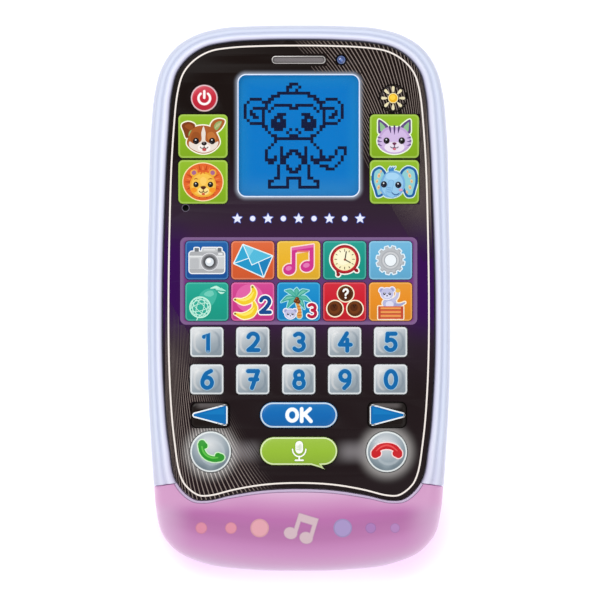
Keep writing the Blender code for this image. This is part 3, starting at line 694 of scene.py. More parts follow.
def chin_material():
    """Translucent pink lit from inside: pale at the collar, deepest across the middle."""
    look = Look("pink_glow", rgb(205, 145, 190), 0.3, specular=0.25)
    x, y, z = look.position()
    side = look.math("ABSOLUTE", x)
    bow = look.math("MULTIPLY", look.math("MULTIPLY", side, side), 0.0034)
    depth = look.math("SUBTRACT", y, bow)
    stops = ((-82.0, (212, 182, 214)), (-80.0, (210, 165, 203)), (-77.5, (206, 148, 196)),
             (-75.0, (199, 136, 188)), (-72.5, (186, 120, 173)), (-69.5, (180, 112, 167)),
             (-66.5, (187, 113, 173)), (-64.0, (198, 130, 183)), (-61.5, (210, 152, 197)),
             (-59.5, (219, 172, 208)), (-57.5, (224, 192, 221)))
    low, high = stops[0][0], stops[-1][0]
    place = look.math("DIVIDE", look.math("SUBTRACT", depth, low), high - low, clamp=True)
    glow = look.ramp(place, [((at - low) / (high - low), rgb(*tone)) for at, tone in stops])
    ends = look.fade(side, 30.5, 43.0)
    glow = look.mix(look.math("MULTIPLY", ends, 0.8), glow, rgb(220, 186, 217))
    collar = look.math("MULTIPLY", look.fade(y, -65.0, -60.0), look.fade(side, 12.0, 26.0))
    glow = look.mix(collar, glow, rgb(214, 160, 202))
    glow = look.mix(look.math("MULTIPLY", look.noise(0.05, 3.0), 0.1), glow, rgb(196, 124, 178))
    dim = look.mix(CHIN_DIM, (0.0, 0.0, 0.0), glow)
    look.link(dim, "Base Color")
    look.link(glow, "Emission Color")
    look.set("Emission Strength", CHIN_GLOW)
    return look.material


def make_light_cover():
    start = COVER_ROW + JOINT_STEP
    rows = [cover_section(at) for at in rows_between(start, ROWS_ROUND - start)]
    mesh = lattice_mesh("light_cover_fine", [rows], sharp=40)
    piece("chin_cover", mesh, chin_material(), "root", nodes=("light_cover",))
    return surface_under(mesh)


# ---------------------------------------------------------------- faceplate

KEYS = [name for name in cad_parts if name.startswith("key_")]
DIGIT_KEYS = ["key_" + digit for digit in "1234567890"]
APP_KEYS = ["key_" + name for name in ("camera", "mail", "music", "clock", "settings", "net",
                                      "bananas", "palm", "coconuts", "crate")]
ANIMAL_KEYS = ["key_" + name for name in ("dog", "lion", "cat", "elephant")]


# Tail of the talk key's outline: (x, drop below the pill), how far each point shifts for each
# millimetre of inset, and its x once the tail has shrunk away.
TALK_TAIL = ((3.7, 0.0, 0.3, 0.0, 3.85), (5.9, 0.62, -0.7, -0.1, 4.6),
             (8.0, 5.6 - TALK_HEIGHT / 2, -1.7, -0.2, 5.2), (7.3, 0.7, -1.7, 0.0, 5.6),
             (6.9, 0.0, -1.7, 0.0, 6.05))
TAIL_DEPTH = 0.5                # inset from which the tail shrinks away


def talk_outline(inset, per_corner=12):
    """Pill with the tail of a speech bubble below its right half."""
    bottom = -TALK_HEIGHT / 2 + inset
    near = min(inset, TAIL_DEPTH)
    short = min(max(1 - (inset - TAIL_DEPTH), 0.0), 1.0)
    tail = [((x + dx * near) * short + flat_x * (1 - short), bottom - (drop + change * near) * short)
            for x, drop, dx, change, flat_x in TALK_TAIL]
    pill = stadium(PILL_WIDTH - 2 * inset, TALK_HEIGHT - 2 * inset, per_corner)
    lower_right = 3 * len(pill) // 4
    return pill[:lower_right] + tail + pill[lower_right:]


def key_outline(name, inset, radius=None):
    """Outline of a key's cap at an inset from its edge, round the key's own centre."""
    if name in DIGIT_KEYS + APP_KEYS + ANIMAL_KEYS + ["key_left", "key_right"]:
        if name in DIGIT_KEYS:
            size = NUMBER_SIZE
        elif name in APP_KEYS:
            size = APP_SIZE
        else:
            size = ANIMAL_SIZE if name in ANIMAL_KEYS else ARROW_SIZE
        corner = max(size[2] - inset, 0.25) if radius is None else radius
        return rounded_rect(size[0] - 2 * inset, size[1] - 2 * inset, corner)
    if name == "key_ok":
        return stadium(PILL_WIDTH - 2 * inset, OK_HEIGHT - 2 * inset)
    if name == "key_talk":
        return talk_outline(inset)
    radius = CALL_RADIUS if name in ("key_call", "key_hang_up") else TOP_KEY_RADIUS
    return circle(radius - inset, 56)


def key_place(name):
    """Centre of a key; the talk key's box holds its tail, so its top edge gives the centre."""
    x, y = node_circle(name)
    if name == "key_talk":
        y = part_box(name)[1].y / MM - TALK_FLANGE - TALK_HEIGHT / 2
    return x, y


def moved(outline, place):
    return [(x + place[0], y + place[1]) for x, y in outline]


def panel_edge(inwards, steps=ROW_STEPS):
    return [casing_point(k / steps, 1.0, inwards, 0.0)[:2] for k in range(ROWS_ROUND * steps)]


def call_glow(look, x, y, node):
    """Painted glow round a call key: 1 at its edge, fading outwards."""
    away = look.circle_distance(x, y, key_place(node), CALL_RADIUS)
    return look.math("POWER", look.fade(away, 4.8, -0.8), 1.9)


def faceplate_material():
    """Glossy black with a violet band, and painted glow: pale halos round the screen and the call
    keys and a grey band at the call keys' height.
    """
    look = Look("printed_black", rgb(30, 22, 24), 0.3, specular=0.06)
    x, y, z = look.position()
    side = look.math("ABSOLUTE", x)
    ground = look.mix(look.noise(0.03, 2.0), rgb(20, 12, 10), rgb(28, 19, 17))
    ground = look.mix(look.math("MULTIPLY", look.fade(y, 46.0, 26.0), 0.75), ground,
                      rgb(54, 38, 56))
    rise = look.fade(y, 27.0, 12.0)
    fall = look.fade(y, -16.0, -3.0)
    band = look.math("MULTIPLY", rise, fall)
    violet = look.mix(look.fade(side, 30.0, 37.5), rgb(60, 27, 70), rgb(54, 12, 80))
    ground = look.mix(band, ground, violet)
    ground = look.mix(look.math("MULTIPLY", look.fade(y, -3.0, -30.0), 0.9), ground,
                      rgb(31, 22, 22))

    # painted glow round the screen
    screen = look.box_distance(x, y, (0.0, SCREEN_Y), SCREEN_SIZE[:2], SCREEN_SIZE[2])
    glow = look.math("POWER", look.fade(screen, 2.1, -0.2), 1.8)
    ground = look.mix(look.math("MULTIPLY", glow, 0.85), ground, rgb(180, 188, 206))

    # painted glow round the call keys
    for node, strength in (("key_call", 0.62), ("key_hang_up", 0.8)):
        glow = call_glow(look, x, y, node)
        ground = look.mix(look.math("MULTIPLY", glow, strength), ground, rgb(178, 174, 172))
    # painted grey band of glow at the call keys' height
    call_y = key_place("key_hang_up")[1]
    beam = look.math("SUBTRACT", 1.0, look.fade(look.math("ABSOLUTE", look.math(
        "SUBTRACT", y, call_y)), 0.0, 4.6))
    reach = look.math("MULTIPLY", look.fade(side, 9.5, 15.5), look.fade(side, 23.0, 18.0))
    beam = look.math("MULTIPLY", beam, reach)
    ground = look.mix(look.math("MULTIPLY", beam, 0.6), ground, rgb(146, 141, 144))
    look.link(ground, "Base Color")
    look.bump(look.noise(2.5, 2.0), 0.05, 0.004)
    return look.material


MICROPHONE_SHIFT = 0.75


def key_clearance(name):
    """Gap between a key's cap and the edge of its hole."""
    if name in APP_KEYS or name in ("key_power", "key_light"):
        return 0.15
    return 0.12 if name in ANIMAL_KEYS else 0.2


def make_faceplate():
    """Plate with a hole for every key, for the screen, the earpiece and the camera."""
    holes = [moved(key_outline(name, -key_clearance(name)), key_place(name)) for name in KEYS]
    width, height, radius = SCREEN_SIZE
    holes.append(rounded_rect(width + 0.4, height + 0.4, radius + 0.2, 10, (0, SCREEN_Y)))
    slot = node_circle("earpiece_grille")
    holes.append(stadium(EARPIECE_SIZE[0] + 0.4, EARPIECE_SIZE[1] + 0.4, 10, slot))
    holes.append(circle(1.55, 32, node_circle("camera_lens")))
    x, y = node_circle("microphone")
    mouth = (x, y + MICROPHONE_SHIFT)
    holes.append(circle(0.95, 24, mouth))
    mesh = plate_mesh("faceplate_fine", [panel_edge(GAP)] + holes, PANEL_LOW, PANEL_TOP, 0.06)
    piece("face_panel", mesh, faceplate_material(), "root",
          nodes=("faceplate",))
    # pale ring round the microphone hole: a painted highlight on the hole's edge
    ring = [circle(1.18, 32), circle(0.96, 32)]
    mesh = plate_mesh("microphone_rim_ring", ring, 0.0, 0.08, 0.02)
    piece("microphone_rim", mesh, ink(112, 104, 120), "root",
          (*mouth, PANEL_TOP))


def make_app_panel():
    """Lighter violet field printed round the ten picture keys, with a pale edge."""
    width, height, radius = APP_PANEL
    holes = [moved(key_outline(name, -0.16), key_place(name)) for name in APP_KEYS]
    look = Look("violet_field", rgb(104, 62, 124), 0.25, specular=0.15)
    x, y, z = look.position()
    mid = look.mix(look.noise(0.05, 2.0), rgb(88, 56, 108), rgb(108, 64, 122))
    ends = look.fade(look.math("ABSOLUTE", x), 22.0, 35.0)
    mid = look.mix(ends, mid, rgb(116, 56, 124))
    edge = look.box_distance(x, y, (0.0, APP_PANEL_Y), (width, height), radius)
    rim = look.fade(edge, -1.6, -0.5)
    look.link(look.mix(look.math("MULTIPLY", rim, 0.75), mid, rgb(132, 104, 146)), "Base Color")
    outline = rounded_rect(width, height, radius, 10, (0, APP_PANEL_Y))
    mesh = plate_mesh("app_field", [outline] + holes, PANEL_TOP, PANEL_TOP + 0.05)
    piece("app_field_print", mesh, look.material, "root")


def add_band(bm, path, widths, height, depth=0.03, thickness=0.012, closed=False):
    """Flat ribbon along a path on a surface, as a closed body of small height."""
    count = len(path)
    rows = []
    for k, (x, y) in enumerate(path):
        before = path[k - 1] if k or closed else path[k]
        after = path[(k + 1) % count] if k < count - 1 or closed else path[k]
        along = (Vector(after) - Vector(before)).normalized()
        across = Vector((-along.y, along.x)) * (widths[k] / 2)
        z = height(x, y)
        corners = ((1, -depth), (1, thickness), (-1, thickness), (-1, -depth))
        rows.append([(x + side * across.x, y + side * across.y, z + rise)
                     for side, rise in corners])
    add_lattice(bm, rows, ring=closed)


def blocked_areas():
    """Round and boxed places that the fine stripes keep clear of."""
    rounds = [(*node_circle("camera_lens"), 1.75)]
    boxes = [(-SCREEN_SIZE[0] / 2 - 0.8, SCREEN_Y - SCREEN_SIZE[1] / 2 - 0.8,
              SCREEN_SIZE[0] / 2 + 0.8, SCREEN_Y + SCREEN_SIZE[1] / 2 + 0.8),
             (-APP_PANEL[0] / 2 - 0.1, APP_PANEL_Y - APP_PANEL[1] / 2 - 0.1,
              APP_PANEL[0] / 2 + 0.1, APP_PANEL_Y + APP_PANEL[1] / 2 + 0.1),
             (-EARPIECE_SIZE[0] / 2 - 0.6, 69.6, EARPIECE_SIZE[0] / 2 + 0.6, 73.4)]
    for name in KEYS:
        if name in ("key_call", "key_hang_up"):
            rounds.append((*key_place(name), CALL_RADIUS + 0.2))
        elif name in ("key_power", "key_light"):
            rounds.append((*key_place(name), TOP_KEY_RADIUS + 0.2))
        else:
            edge = moved(key_outline(name, -0.2), key_place(name))
            boxes.append((min(x for x, y in edge), min(y for x, y in edge),
                          max(x for x, y in edge), max(y for x, y in edge)))
    return rounds, boxes


ROUND_AREAS, BOX_AREAS = blocked_areas()


def open_ground(x, y):
    """True where the faceplate shows: clear of the keys, the screen and the earpiece."""
    for cx, cy, radius in ROUND_AREAS:
        if math.hypot(x - cx, y - cy) < radius:
            return False
    return not any(x0 < x < x1 and y0 < y < y1 for x0, y0, x1, y1 in BOX_AREAS)


FAN_STEPS = 60
LINE_SHARE = 0.24               # width of a stripe as a share of the pitch
FAN_PITCHES = (0.80, 1.36)      # at the flat end of a fan and at its corner
FANS = ((1, (-0.9, 7.6), ((32.0, 9.0), (40.2, 12.0))),
        (-1, (18.1, 25.9), ((-31.5, 6.0), (-40.2, 8.0))))


def edge_walk(start, end, pitches):
    """Places along the faceplate's edge between two rows, with a pitch that grows."""
    step = 0.01 if end > start else -0.01
    at, gone, places = start, 0.0, []
    previous = Vector(panel_edge_at(start, GAP))
    while (at - end) * step < 0:
        at += step
        spot = Vector(panel_edge_at(at, GAP))
        gone += (spot - previous).length
        previous = spot
        share = (at - start) / (end - start)
        if gone >= pitches[0] + (pitches[1] - pitches[0]) * min(share * 4.0, 1.0):
            places.append((tuple(spot), share))
            gone = 0.0
    return places


def fan_paths():
    """Both fans as lists of points: curves from the faceplate's edge that run together."""
    fans = []
    for sign, rows, focus in FANS:
        paths = []
        for (x, y), share in edge_walk(*rows, FAN_PITCHES):
            start = Vector((x, y))
            end = Vector(focus[0]).lerp(Vector(focus[1]), share)
            lean = math.radians(46 * max(1 - (abs(x) / 39.5) ** 1.4, 0.0))
            reach = 0.42 * (end - start).length
            bend = start + Vector((math.sin(lean), -math.cos(lean))) * reach * sign
            paths.append([start * (1 - f) ** 2 + bend * (2 * f * (1 - f)) + end * f ** 2
                          for f in (step / FAN_STEPS for step in range(FAN_STEPS + 1))])
        fans.append(paths)
    return fans


FAN_SLOPE = 1.7
UPPER_FAN = 74.6
LOWER_FAN = 66.6


def fan_depths(x, y):
    """How far a place lies outside the upper and the lower fan, negative inside."""
    return UPPER_FAN - y - FAN_SLOPE * x, LOWER_FAN + y + FAN_SLOPE * x


def pitch_at(paths, index, step):
    """Distance from a stripe of a fan to its neighbour, square to the stripe."""
    path = paths[index]
    other = paths[index + 1 if index + 1 < len(paths) else index - 1]
    along = path[min(step + 1, FAN_STEPS)] - path[max(step - 1, 0)]
    return abs(along.normalized().cross(other[step] - path[step]))


def crossing(shown, inside, outside, halvings=6):
    """Last place that is shown on the way from a place inside to one outside."""
    for _ in range(halvings):
        middle = (inside + outside) / 2
        if shown(middle):
            inside = middle
        else:
            outside = middle
    return inside


def add_stripes(bm, allowed, height):
    """The parts of the fans that lie where they are allowed, cut off cleanly at the edges."""
    def shown(spot):
        return allowed(*spot) and min(fan_depths(*spot)) < 0

    for paths in fan_paths():
        for index, path in enumerate(paths):
            spots = [Vector(spot) for spot in path]
            inside = [shown(spot) for spot in spots] + [False]
            part, widths = [], []
            for step, spot in enumerate(spots):
                if not inside[step]:
                    continue
                width = min(max(LINE_SHARE * pitch_at(paths, index, step), 0.03), 0.42)
                edges = [spot]
                if not part and step:
                    edges.insert(0, crossing(shown, spot, spots[step - 1]))
                if not inside[step + 1] and step < FAN_STEPS:
                    edges.append(crossing(shown, spot, spots[step + 1]))
                for edge in edges:
                    if not part or (Vector(part[-1]) - edge).length > 0.02:
                        part.append(tuple(edge))
                        widths.append(width)
                if not inside[step + 1]:
                    if len(part) > 1:
                        add_band(bm, part, widths, height)
                    part, widths = [], []


def stripe_material():
    """Grey-brown stripes that fade away from the corners, brightened by painted glow beside a call
    key.
    """
    look = Look("fine_stripes", rgb(112, 98, 92), 0.3, specular=0.1)
    x, y, z = look.position()
    slant = look.math("MULTIPLY_ADD", x, 1.7, y)
    upper = look.math("MULTIPLY", look.fade(slant, 64.0, 92.0), look.fade(y, 10.0, 34.0))
    lower = look.math("MAXIMUM", look.fade(slant, -66.6, -84.0),
                      look.math("MULTIPLY", look.fade(x, -27.0, -36.0), 0.6))
    lower = look.math("MULTIPLY", lower, look.fade(y, 3.0, -17.0))
    shown = look.math("MAXIMUM", upper, lower)
    ground = look.mix(look.noise(0.03, 2.0), rgb(128, 115, 110), rgb(152, 138, 131))
    ground = look.mix(shown, rgb(34, 26, 28), ground)
    # painted glow beside the call key lights up the stripes
    ground = look.mix(call_glow(look, x, y, "key_call"), ground, rgb(222, 219, 216))
    look.link(ground, "Base Color")
    return look.material


def panel_edge_at(row, inwards):
    return casing_point(row, 1.0, inwards, 0.0)[:2]


def panel_height(x, y):
    return PANEL_TOP


TICK_RUN = 1.1
TICK_RISE = 1.35


def make_face_lines():
    """Cream line inside the faceplate's edge, two fans of fine stripes and short ticks."""
    bm = bmesh.new()
    path = []
    for k in range(ROWS_ROUND * ROW_STEPS):
        at = k / ROW_STEPS
        y = panel_edge_at(at, 0.0)[1]
        inwards = 1.85 - 0.4 * math.exp(-((y - 42.0) / 22.0) ** 2)
        path.append(panel_edge_at(at, inwards))
    for _ in range(3):
        path = [((path[k - 1][0] + 2 * x + path[(k + 1) % len(path)][0]) / 4,
                 (path[k - 1][1] + 2 * y + path[(k + 1) % len(path)][1]) / 4)
                for k, (x, y) in enumerate(path)]
    add_band(bm, path, [0.48] * len(path), panel_height, thickness=0.04, closed=True)
    piece("face_pinstripe", mesh_of("pinstripe", bm), ink(246, 238, 232), "root")

    bm = bmesh.new()
    add_stripes(bm, open_ground, panel_height)
    ticks = ((-1, ROWS_ROUND - 0.3, ROWS_ROUND - 2.6), (1, 17.8, 15.6))
    for sign, start, end in ticks:
        for (x, y), share in edge_walk(start, end, (0.72, 0.72)):
            tip = (x - TICK_RUN, y + TICK_RISE * sign)
            middle = ((x + tip[0]) / 2, (y + tip[1]) / 2)
            width = 0.24 * (1 - share) + 0.05
            add_band(bm, [(x, y), middle, tip], [width, width, 0.5 * width], panel_height)
    piece("face_stripes", mesh_of("stripes", bm), stripe_material(), "root")


def make_ornament():
    """Row of small pale stars and dots between the display and the picture keys."""
    p = Print(panel_height)
    for k in range(9):
        x = -18.4 + 4.6 * k
        if k % 2:
            shape = ellipse(x, ORNAMENT_Y, 0.75, count=28)
        else:
            shape = []
            for corner in range(10):
                angle = math.pi / 2 + math.pi * corner / 5
                radius = 0.68 if corner % 2 else 1.5
                shape.append((x + radius * math.cos(angle),
                              ORNAMENT_Y + radius * math.sin(angle)))
        p.add(shape, (70, 84, 168), 0.26)
        p.add(shape, (232, 236, 250), 0.04)
    p.place("face_ornament", "root", "black_faceplate", (0.0, 0.0, 0.0))


# ---------------------------------------------------------------- screen and face details

SCREEN_BLUE = (8, 122, 208)
DISPLAY_CELL = 0.91


def sprite_cells():
    """Dark cells of the display: a standing little ape, drawn with ellipses and lines."""
    cells = set()

    def line(*points):
        for (x0, y0), (x1, y1) in zip(points, points[1:]):
            steps = int(2 * max(abs(x1 - x0), abs(y1 - y0))) + 1
            cells.update((round(x0 + (x1 - x0) * k / steps), round(y0 + (y1 - y0) * k / steps))
                         for k in range(steps + 1))

    def both(*points):
        """The same line on the left and on the right of the middle column."""
        line(*points)
        line(*[(-x, y) for x, y in points])

    both((0, 17), (4, 17), (6, 16), (8, 15), (9, 13), (10, 11), (10, 7), (9, 5), (7, 3), (5, 2),
         (0, 2))
    both((9, 13), (11, 15), (14, 15), (16, 13), (16, 9), (14, 7), (10, 7))
    both((11, 12), (13, 12), (14, 11), (14, 10), (12, 9))
    both((2, 13), (6, 13), (8, 11))
    both((2, 13), (0, 12))
    both((3, 10), (5, 10))
    for side in (-1, 1):
        for x in range(-2, 3):
            for y in range(-2, 3):
                if abs(x) + abs(y) < 4 and (x, y) != (0, 1):
                    cells.add((side * 5 + x, 7 + y))
    both((1, 5), (1, 5))
    both((2, 4), (1, 3), (0, 3))
    line((-2, 18), (-1, 20), (1, 20))
    line((1, 18), (2, 19))
    both((5, 2), (7, 0), (9, -2), (9, -5), (7, -6), (6, -4))
    both((4, -1), (4, -6))
    both((5, -7), (5, -11), (8, -12), (8, -14), (2, -14), (2, -11), (0, -11))
    both((0, -2), (2, -3), (3, -5), (2, -8), (0, -9))
    line((9, -4), (11, -5), (13, -4), (15, -1), (17, -1), (17, -3), (15, -6), (13, -8), (9, -7))
    return sorted(cells)


def make_screen():
    """Lit blue display with dark square cells, under a thin clear window with a pale edge."""
    width, height, radius = SCREEN_SIZE
    look = Look("display_blue", rgb(*SCREEN_BLUE), 0.3, specular=0.1)
    x, y, z = look.position()
    edge = look.box_distance(x, y, (0.0, 0.0), (width, height), radius)
    colour = look.mix(look.fade(edge, -5.0, 0.5), rgb(0, 126, 210), rgb(24, 140, 212))
    colour = look.mix(look.math("MULTIPLY", look.fade(y, -10.0, -18.5), 0.7), colour,
                      rgb(52, 138, 206))
    colour = look.mix(look.math("MULTIPLY", look.noise(0.12, 2.0), 0.08), colour,
                      rgb(20, 150, 220))
    look.link(look.mix(0.6, (0.0, 0.0, 0.0), colour), "Base Color")
    look.link(colour, "Emission Color")
    look.set("Emission Strength", 0.36)
    outline = rounded_rect(width + 1.2, height + 1.2, radius, 10)
    levels = [(outline, 18.2), (outline, FLANGE_TOP)]
    mesh = lattice_mesh("display", [stack(levels)])
    piece("display_panel", mesh, look.material, "root", (0, SCREEN_Y, 0),
          ("screen_panel",))

    bm = bmesh.new()
    half = DISPLAY_CELL * 0.5
    for column, row in sprite_cells():
        cx, cy = column * DISPLAY_CELL - 1.5, (row - 3) * DISPLAY_CELL
        square = [(cx - half, cy - half), (cx + half, cy - half), (cx + half, cy + half),
                  (cx - half, cy + half)]
        add_lattice(bm, stack([(square, FLANGE_TOP - 0.02), (square, FLANGE_TOP + 0.03)]))
    cells = mesh_of("display_cells", bm)
    piece("display_picture", cells, ink(5, 14, 58), "root", (0, SCREEN_Y, 0))

    glass = Look("window", rgb(40, 70, 120), 0.06, specular=0.3)
    glass.set("Alpha", 0.04)
    glass.bump(glass.noise(0.08, 2.0), 0.05, 0.01)
    levels = [(rounded_rect(width - 2 * inset, height - 2 * inset, radius - inset, 10), z)
              for inset, z in ((0.0, PANEL_LOW), (0.0, PANEL_TOP - 0.25), (0.12, PANEL_TOP - 0.1))]
    mesh = lattice_mesh("window", [stack(levels)])
    piece("screen_window", mesh, glass.material, "root", (0, SCREEN_Y, 0),
          ("screen_lens",))
    frame_lines = [rounded_rect(width + 0.75, height + 0.75, radius + 0.4, 10),
                   rounded_rect(width + 0.05, height + 0.05, radius + 0.05, 10)]
    mesh = plate_mesh("screen_edge", frame_lines, PANEL_TOP - 0.02, PANEL_TOP + 0.06, 0.02)
    look = Look("pale_line", rgb(205, 217, 238), 0.3)
    look.link(look.mix(look.noise(0.1, 2.0), rgb(190, 206, 232), rgb(226, 234, 246)),
              "Base Color")
    # painted glow: the pale printed edge round the screen gives off a little light
    look.set("Emission Color", (*rgb(200, 215, 240), 1.0))
    look.set("Emission Strength", 0.15)
    piece("screen_edge_print", mesh, look.material, "root",
          (0, SCREEN_Y, 0))


def make_face_details():
    """Slotted earpiece with a pale rim, and the little dummy camera."""
    x, y = node_circle("earpiece_grille")
    width, height = EARPIECE_SIZE
    look = Look("earpiece_grey", rgb(118, 112, 114), 0.5)
    px, py, pz = look.position()
    weave = look.math("MULTIPLY", look.math("SINE", look.math("MULTIPLY", px, 14.0)),
                      look.math("SINE", look.math("MULTIPLY", py, 14.0)))
    look.link(look.mix(look.fade(weave, -0.3, 0.5), rgb(96, 90, 92), rgb(138, 132, 134)),
              "Base Color")
    look.bump(weave, 0.5, 0.05)
    levels = [(stadium(width - 2 * inset, height - 2 * inset, 12), z)
              for inset, z in ((0.0, 0.0), (0.0, 1.1), (0.25, 1.3), (0.4, 1.3))]
    mesh = lattice_mesh("earpiece", [stack(levels)])
    piece("earpiece_mesh", mesh, look.material, "root", (x, y, PANEL_LOW),
          ("earpiece_grille",))
    rings = [stadium(width + 0.55, height + 0.55, 12), stadium(width - 0.05, height - 0.05, 12)]
    mesh = plate_mesh("earpiece_ring", rings, -0.02, 0.1, 0.03)
    piece("earpiece_rim", mesh, brushed("grey_rim", rgb(196, 192, 190), 0.4), "root",
          (x, y, PANEL_TOP))

    x, y = node_circle("camera_lens")
    glass = Look("camera_blue", rgb(20, 50, 120), 0.06, specular=0.8, coat=1.0)
    px, py, pz = glass.position()
    away = glass.circle_distance(px, py, (0.0, 0.0), 0.0)
    stops = ((0.0, rgb(150, 180, 225)), (0.25, rgb(60, 100, 180)), (0.55, rgb(24, 46, 108)),
             (0.8, rgb(70, 100, 160)), (1.0, rgb(20, 34, 80)))
    glass.link(glass.ramp(glass.math("DIVIDE", away, 1.3), stops), "Base Color")
    mesh = lattice_mesh("camera", [turned(((1.3, 0.0), (1.3, 1.5), (1.22, 1.62), (0.95, 1.74),
                                           (0.8, 1.72), (0.5, 1.84), (0.2, 1.88)), 36)])
    piece("camera_window", mesh, glass.material, "root", (x, y, PANEL_LOW),
          ("camera_lens",))


# ---------------------------------------------------------------- key caps

# (inset, height above the faceplate, corner radius or None to follow the inset)
BUMP_SIZE = (NUMBER_SIZE[0] - 2.5, NUMBER_SIZE[1] - 2.5, 2.5)
NUMBER_CAP = ((0.0, 0.3, None), (0.05, 0.45, None), (0.16, 0.56, None), (0.34, 0.62, None),
              (0.55, 0.65, 0.8), (0.8, 0.70, 1.4), (1.05, 0.82, 2.1), (1.30, 1.02, 2.5),
              (1.55, 1.18, 2.6), (1.80, 1.26, 2.5), (2.15, 1.3, 2.2), (2.9, 1.3, 1.5))
TILE_CAP = ((0.0, 0.3, None), (0.04, 0.4, None), (0.13, 0.47, None), (0.26, 0.5, None),
            (0.6, 0.5, None))
ROUND_CAP = ((0.0, 0.35, None), (0.05, 0.52, None), (0.18, 0.68, None), (0.4, 0.78, None),
             (0.9, 0.85, None), (1.6, 0.89, None), (2.6, 0.9, None))
ARROW_CAP = ((0.0, 0.3, None), (0.06, 0.5, None), (0.22, 0.68, None), (0.5, 0.8, None),
             (0.9, 0.87, None), (1.3, 0.9, None))
PILL_CAP = ((0.0, 0.35, None), (0.06, 0.6, None), (0.22, 0.8, None), (0.5, 0.95, None),
            (0.95, 1.08, None), (1.5, 1.16, None), (2.2, 1.2, None))
CALL_CAP = ((0.0, 0.4, None), (0.05, 0.55, None), (0.16, 0.66, None), (0.36, 0.72, None),
            (0.6, 0.74, None), (0.8, 0.82, None), (1.2, 1.02, None), (1.8, 1.27, None),
            (2.6, 1.52, None), (3.5, 1.71, None), (4.4, 1.81, None), (5.3, 1.85, None))

TILE_COLOURS = {
    "key_camera": (16, 92, 168), "key_mail": (226, 102, 52), "key_music": (240, 188, 48),
    "key_clock": (22, 160, 144), "key_settings": (112, 186, 224), "key_net": (22, 168, 146),
    "key_bananas": (214, 64, 146), "key_palm": (12, 146, 208), "key_coconuts": (212, 28, 48),
    "key_crate": (238, 152, 38),
}


def cap_style(name):
    """Profile and flange width of a key."""
    if name in DIGIT_KEYS:
        return NUMBER_CAP, 0.6
    if name in APP_KEYS:
        return TILE_CAP, 0.25
    if name in ANIMAL_KEYS:
        return TILE_CAP, 0.2
    if name in ("key_power", "key_light"):
        return ROUND_CAP, 0.2
    if name in ("key_left", "key_right"):
        return ARROW_CAP, 0.4
    if name in ("key_ok", "key_talk"):
        return PILL_CAP, 0.6 if name == "key_ok" else TALK_FLANGE
    return CALL_CAP, 0.5


def silver_material():
    """Satin silver plastic, white at its rim, with painted light: whiter at the upper edge,
    blue-grey below, a painted highlight left of the raised middle and painted shade right of it.
    """
    look = Look("silver_caps", rgb(200, 206, 212), 0.4, specular=0.3, coat=0.1)
    x, y, z = look.position()
    stops = ((0.0, rgb(128, 142, 152)), (0.35, rgb(150, 162, 171)), (0.65, rgb(182, 190, 196)),
             (1.0, rgb(219, 221, 222)))
    # painted light and shade: lighter towards the upper left, darker towards the lower right
    lean = look.math("SUBTRACT", y, look.math("MULTIPLY", x, 0.45))
    place = look.math("DIVIDE", look.math("ADD", lean, 5.0), 10.0, clamp=True)
    body = look.ramp(place, stops)
    edge = look.box_distance(x, y, (0.0, 0.0), NUMBER_SIZE[:2], NUMBER_SIZE[2])
    bump = look.box_distance(x, y, (0.0, 0.0), BUMP_SIZE[:2], BUMP_SIZE[2])
    # painted shade on the right of the raised middle and a painted highlight on its left
    band = look.math("MULTIPLY", look.fade(bump, -0.7, -0.1), look.fade(bump, 0.5, 0.0))
    right = look.math("MULTIPLY", look.math("MULTIPLY", band, look.fade(x, 1.0, 3.0)), 0.45)
    body = look.mix(right, body, rgb(112, 130, 146))
    left = look.math("MULTIPLY", look.math("MULTIPLY", band, look.fade(x, -1.0, -3.0)), 0.45)
    body = look.mix(left, body, rgb(232, 230, 228))
    rim = look.fade(edge, -0.62, -0.38)
    body = look.mix(rim, body, rgb(226, 230, 232))
    body = look.mix(look.math("MULTIPLY", look.noise(0.3, 3.0), 0.12), body, rgb(160, 172, 184))
    look.link(body, "Base Color")
    look.bump(look.noise(2.5, 2.0), 0.12, 0.012)
    return look.material


def call_material():
    """Silver dome with painted light: pale at its upper middle, painted shade towards its lower
    edge, a painted patch of reflected light near the bottom, a painted glint ring round the middle
    and a pale rim.
    """
    look = Look("silver_domes", rgb(170, 182, 190), 0.35, specular=0.3, coat=0.2)
    x, y, z = look.position()
    # painted light: pale round a spot above the middle, darker further out
    away = look.circle_distance(x, y, (-0.2, 2.2), 0.0)
    stops = ((0.0, rgb(214, 217, 219)), (0.35, rgb(182, 190, 196)), (0.62, rgb(146, 160, 169)),
             (0.85, rgb(112, 128, 138)), (1.0, rgb(104, 120, 130)))
    body = look.ramp(look.math("DIVIDE", away, 8.2, clamp=True), stops)
    # painted patch of reflected light near the bottom
    lower = look.circle_distance(x, y, (0.0, -4.2), 0.0)
    body = look.mix(look.math("MULTIPLY", look.fade(lower, 2.2, 0.2), 0.3), body,
                    rgb(170, 184, 192))
    # painted glint ring round the middle
    inner = look.circle_distance(x, y, (0.5, -0.3), 3.5)
    glint = look.math("MULTIPLY", look.fade(inner, -0.9, -0.1), look.fade(inner, 0.5, 0.1))
    body = look.mix(look.math("MULTIPLY", glint, 0.3), body, rgb(206, 214, 219))
    edge = look.circle_distance(x, y, (0.0, 0.0), CALL_RADIUS)
    body = look.mix(look.fade(edge, -0.62, -0.42), body, rgb(226, 232, 232))
    look.link(body, "Base Color")
    look.bump(look.noise(2.5, 2.0), 0.12, 0.012)
    return look.material


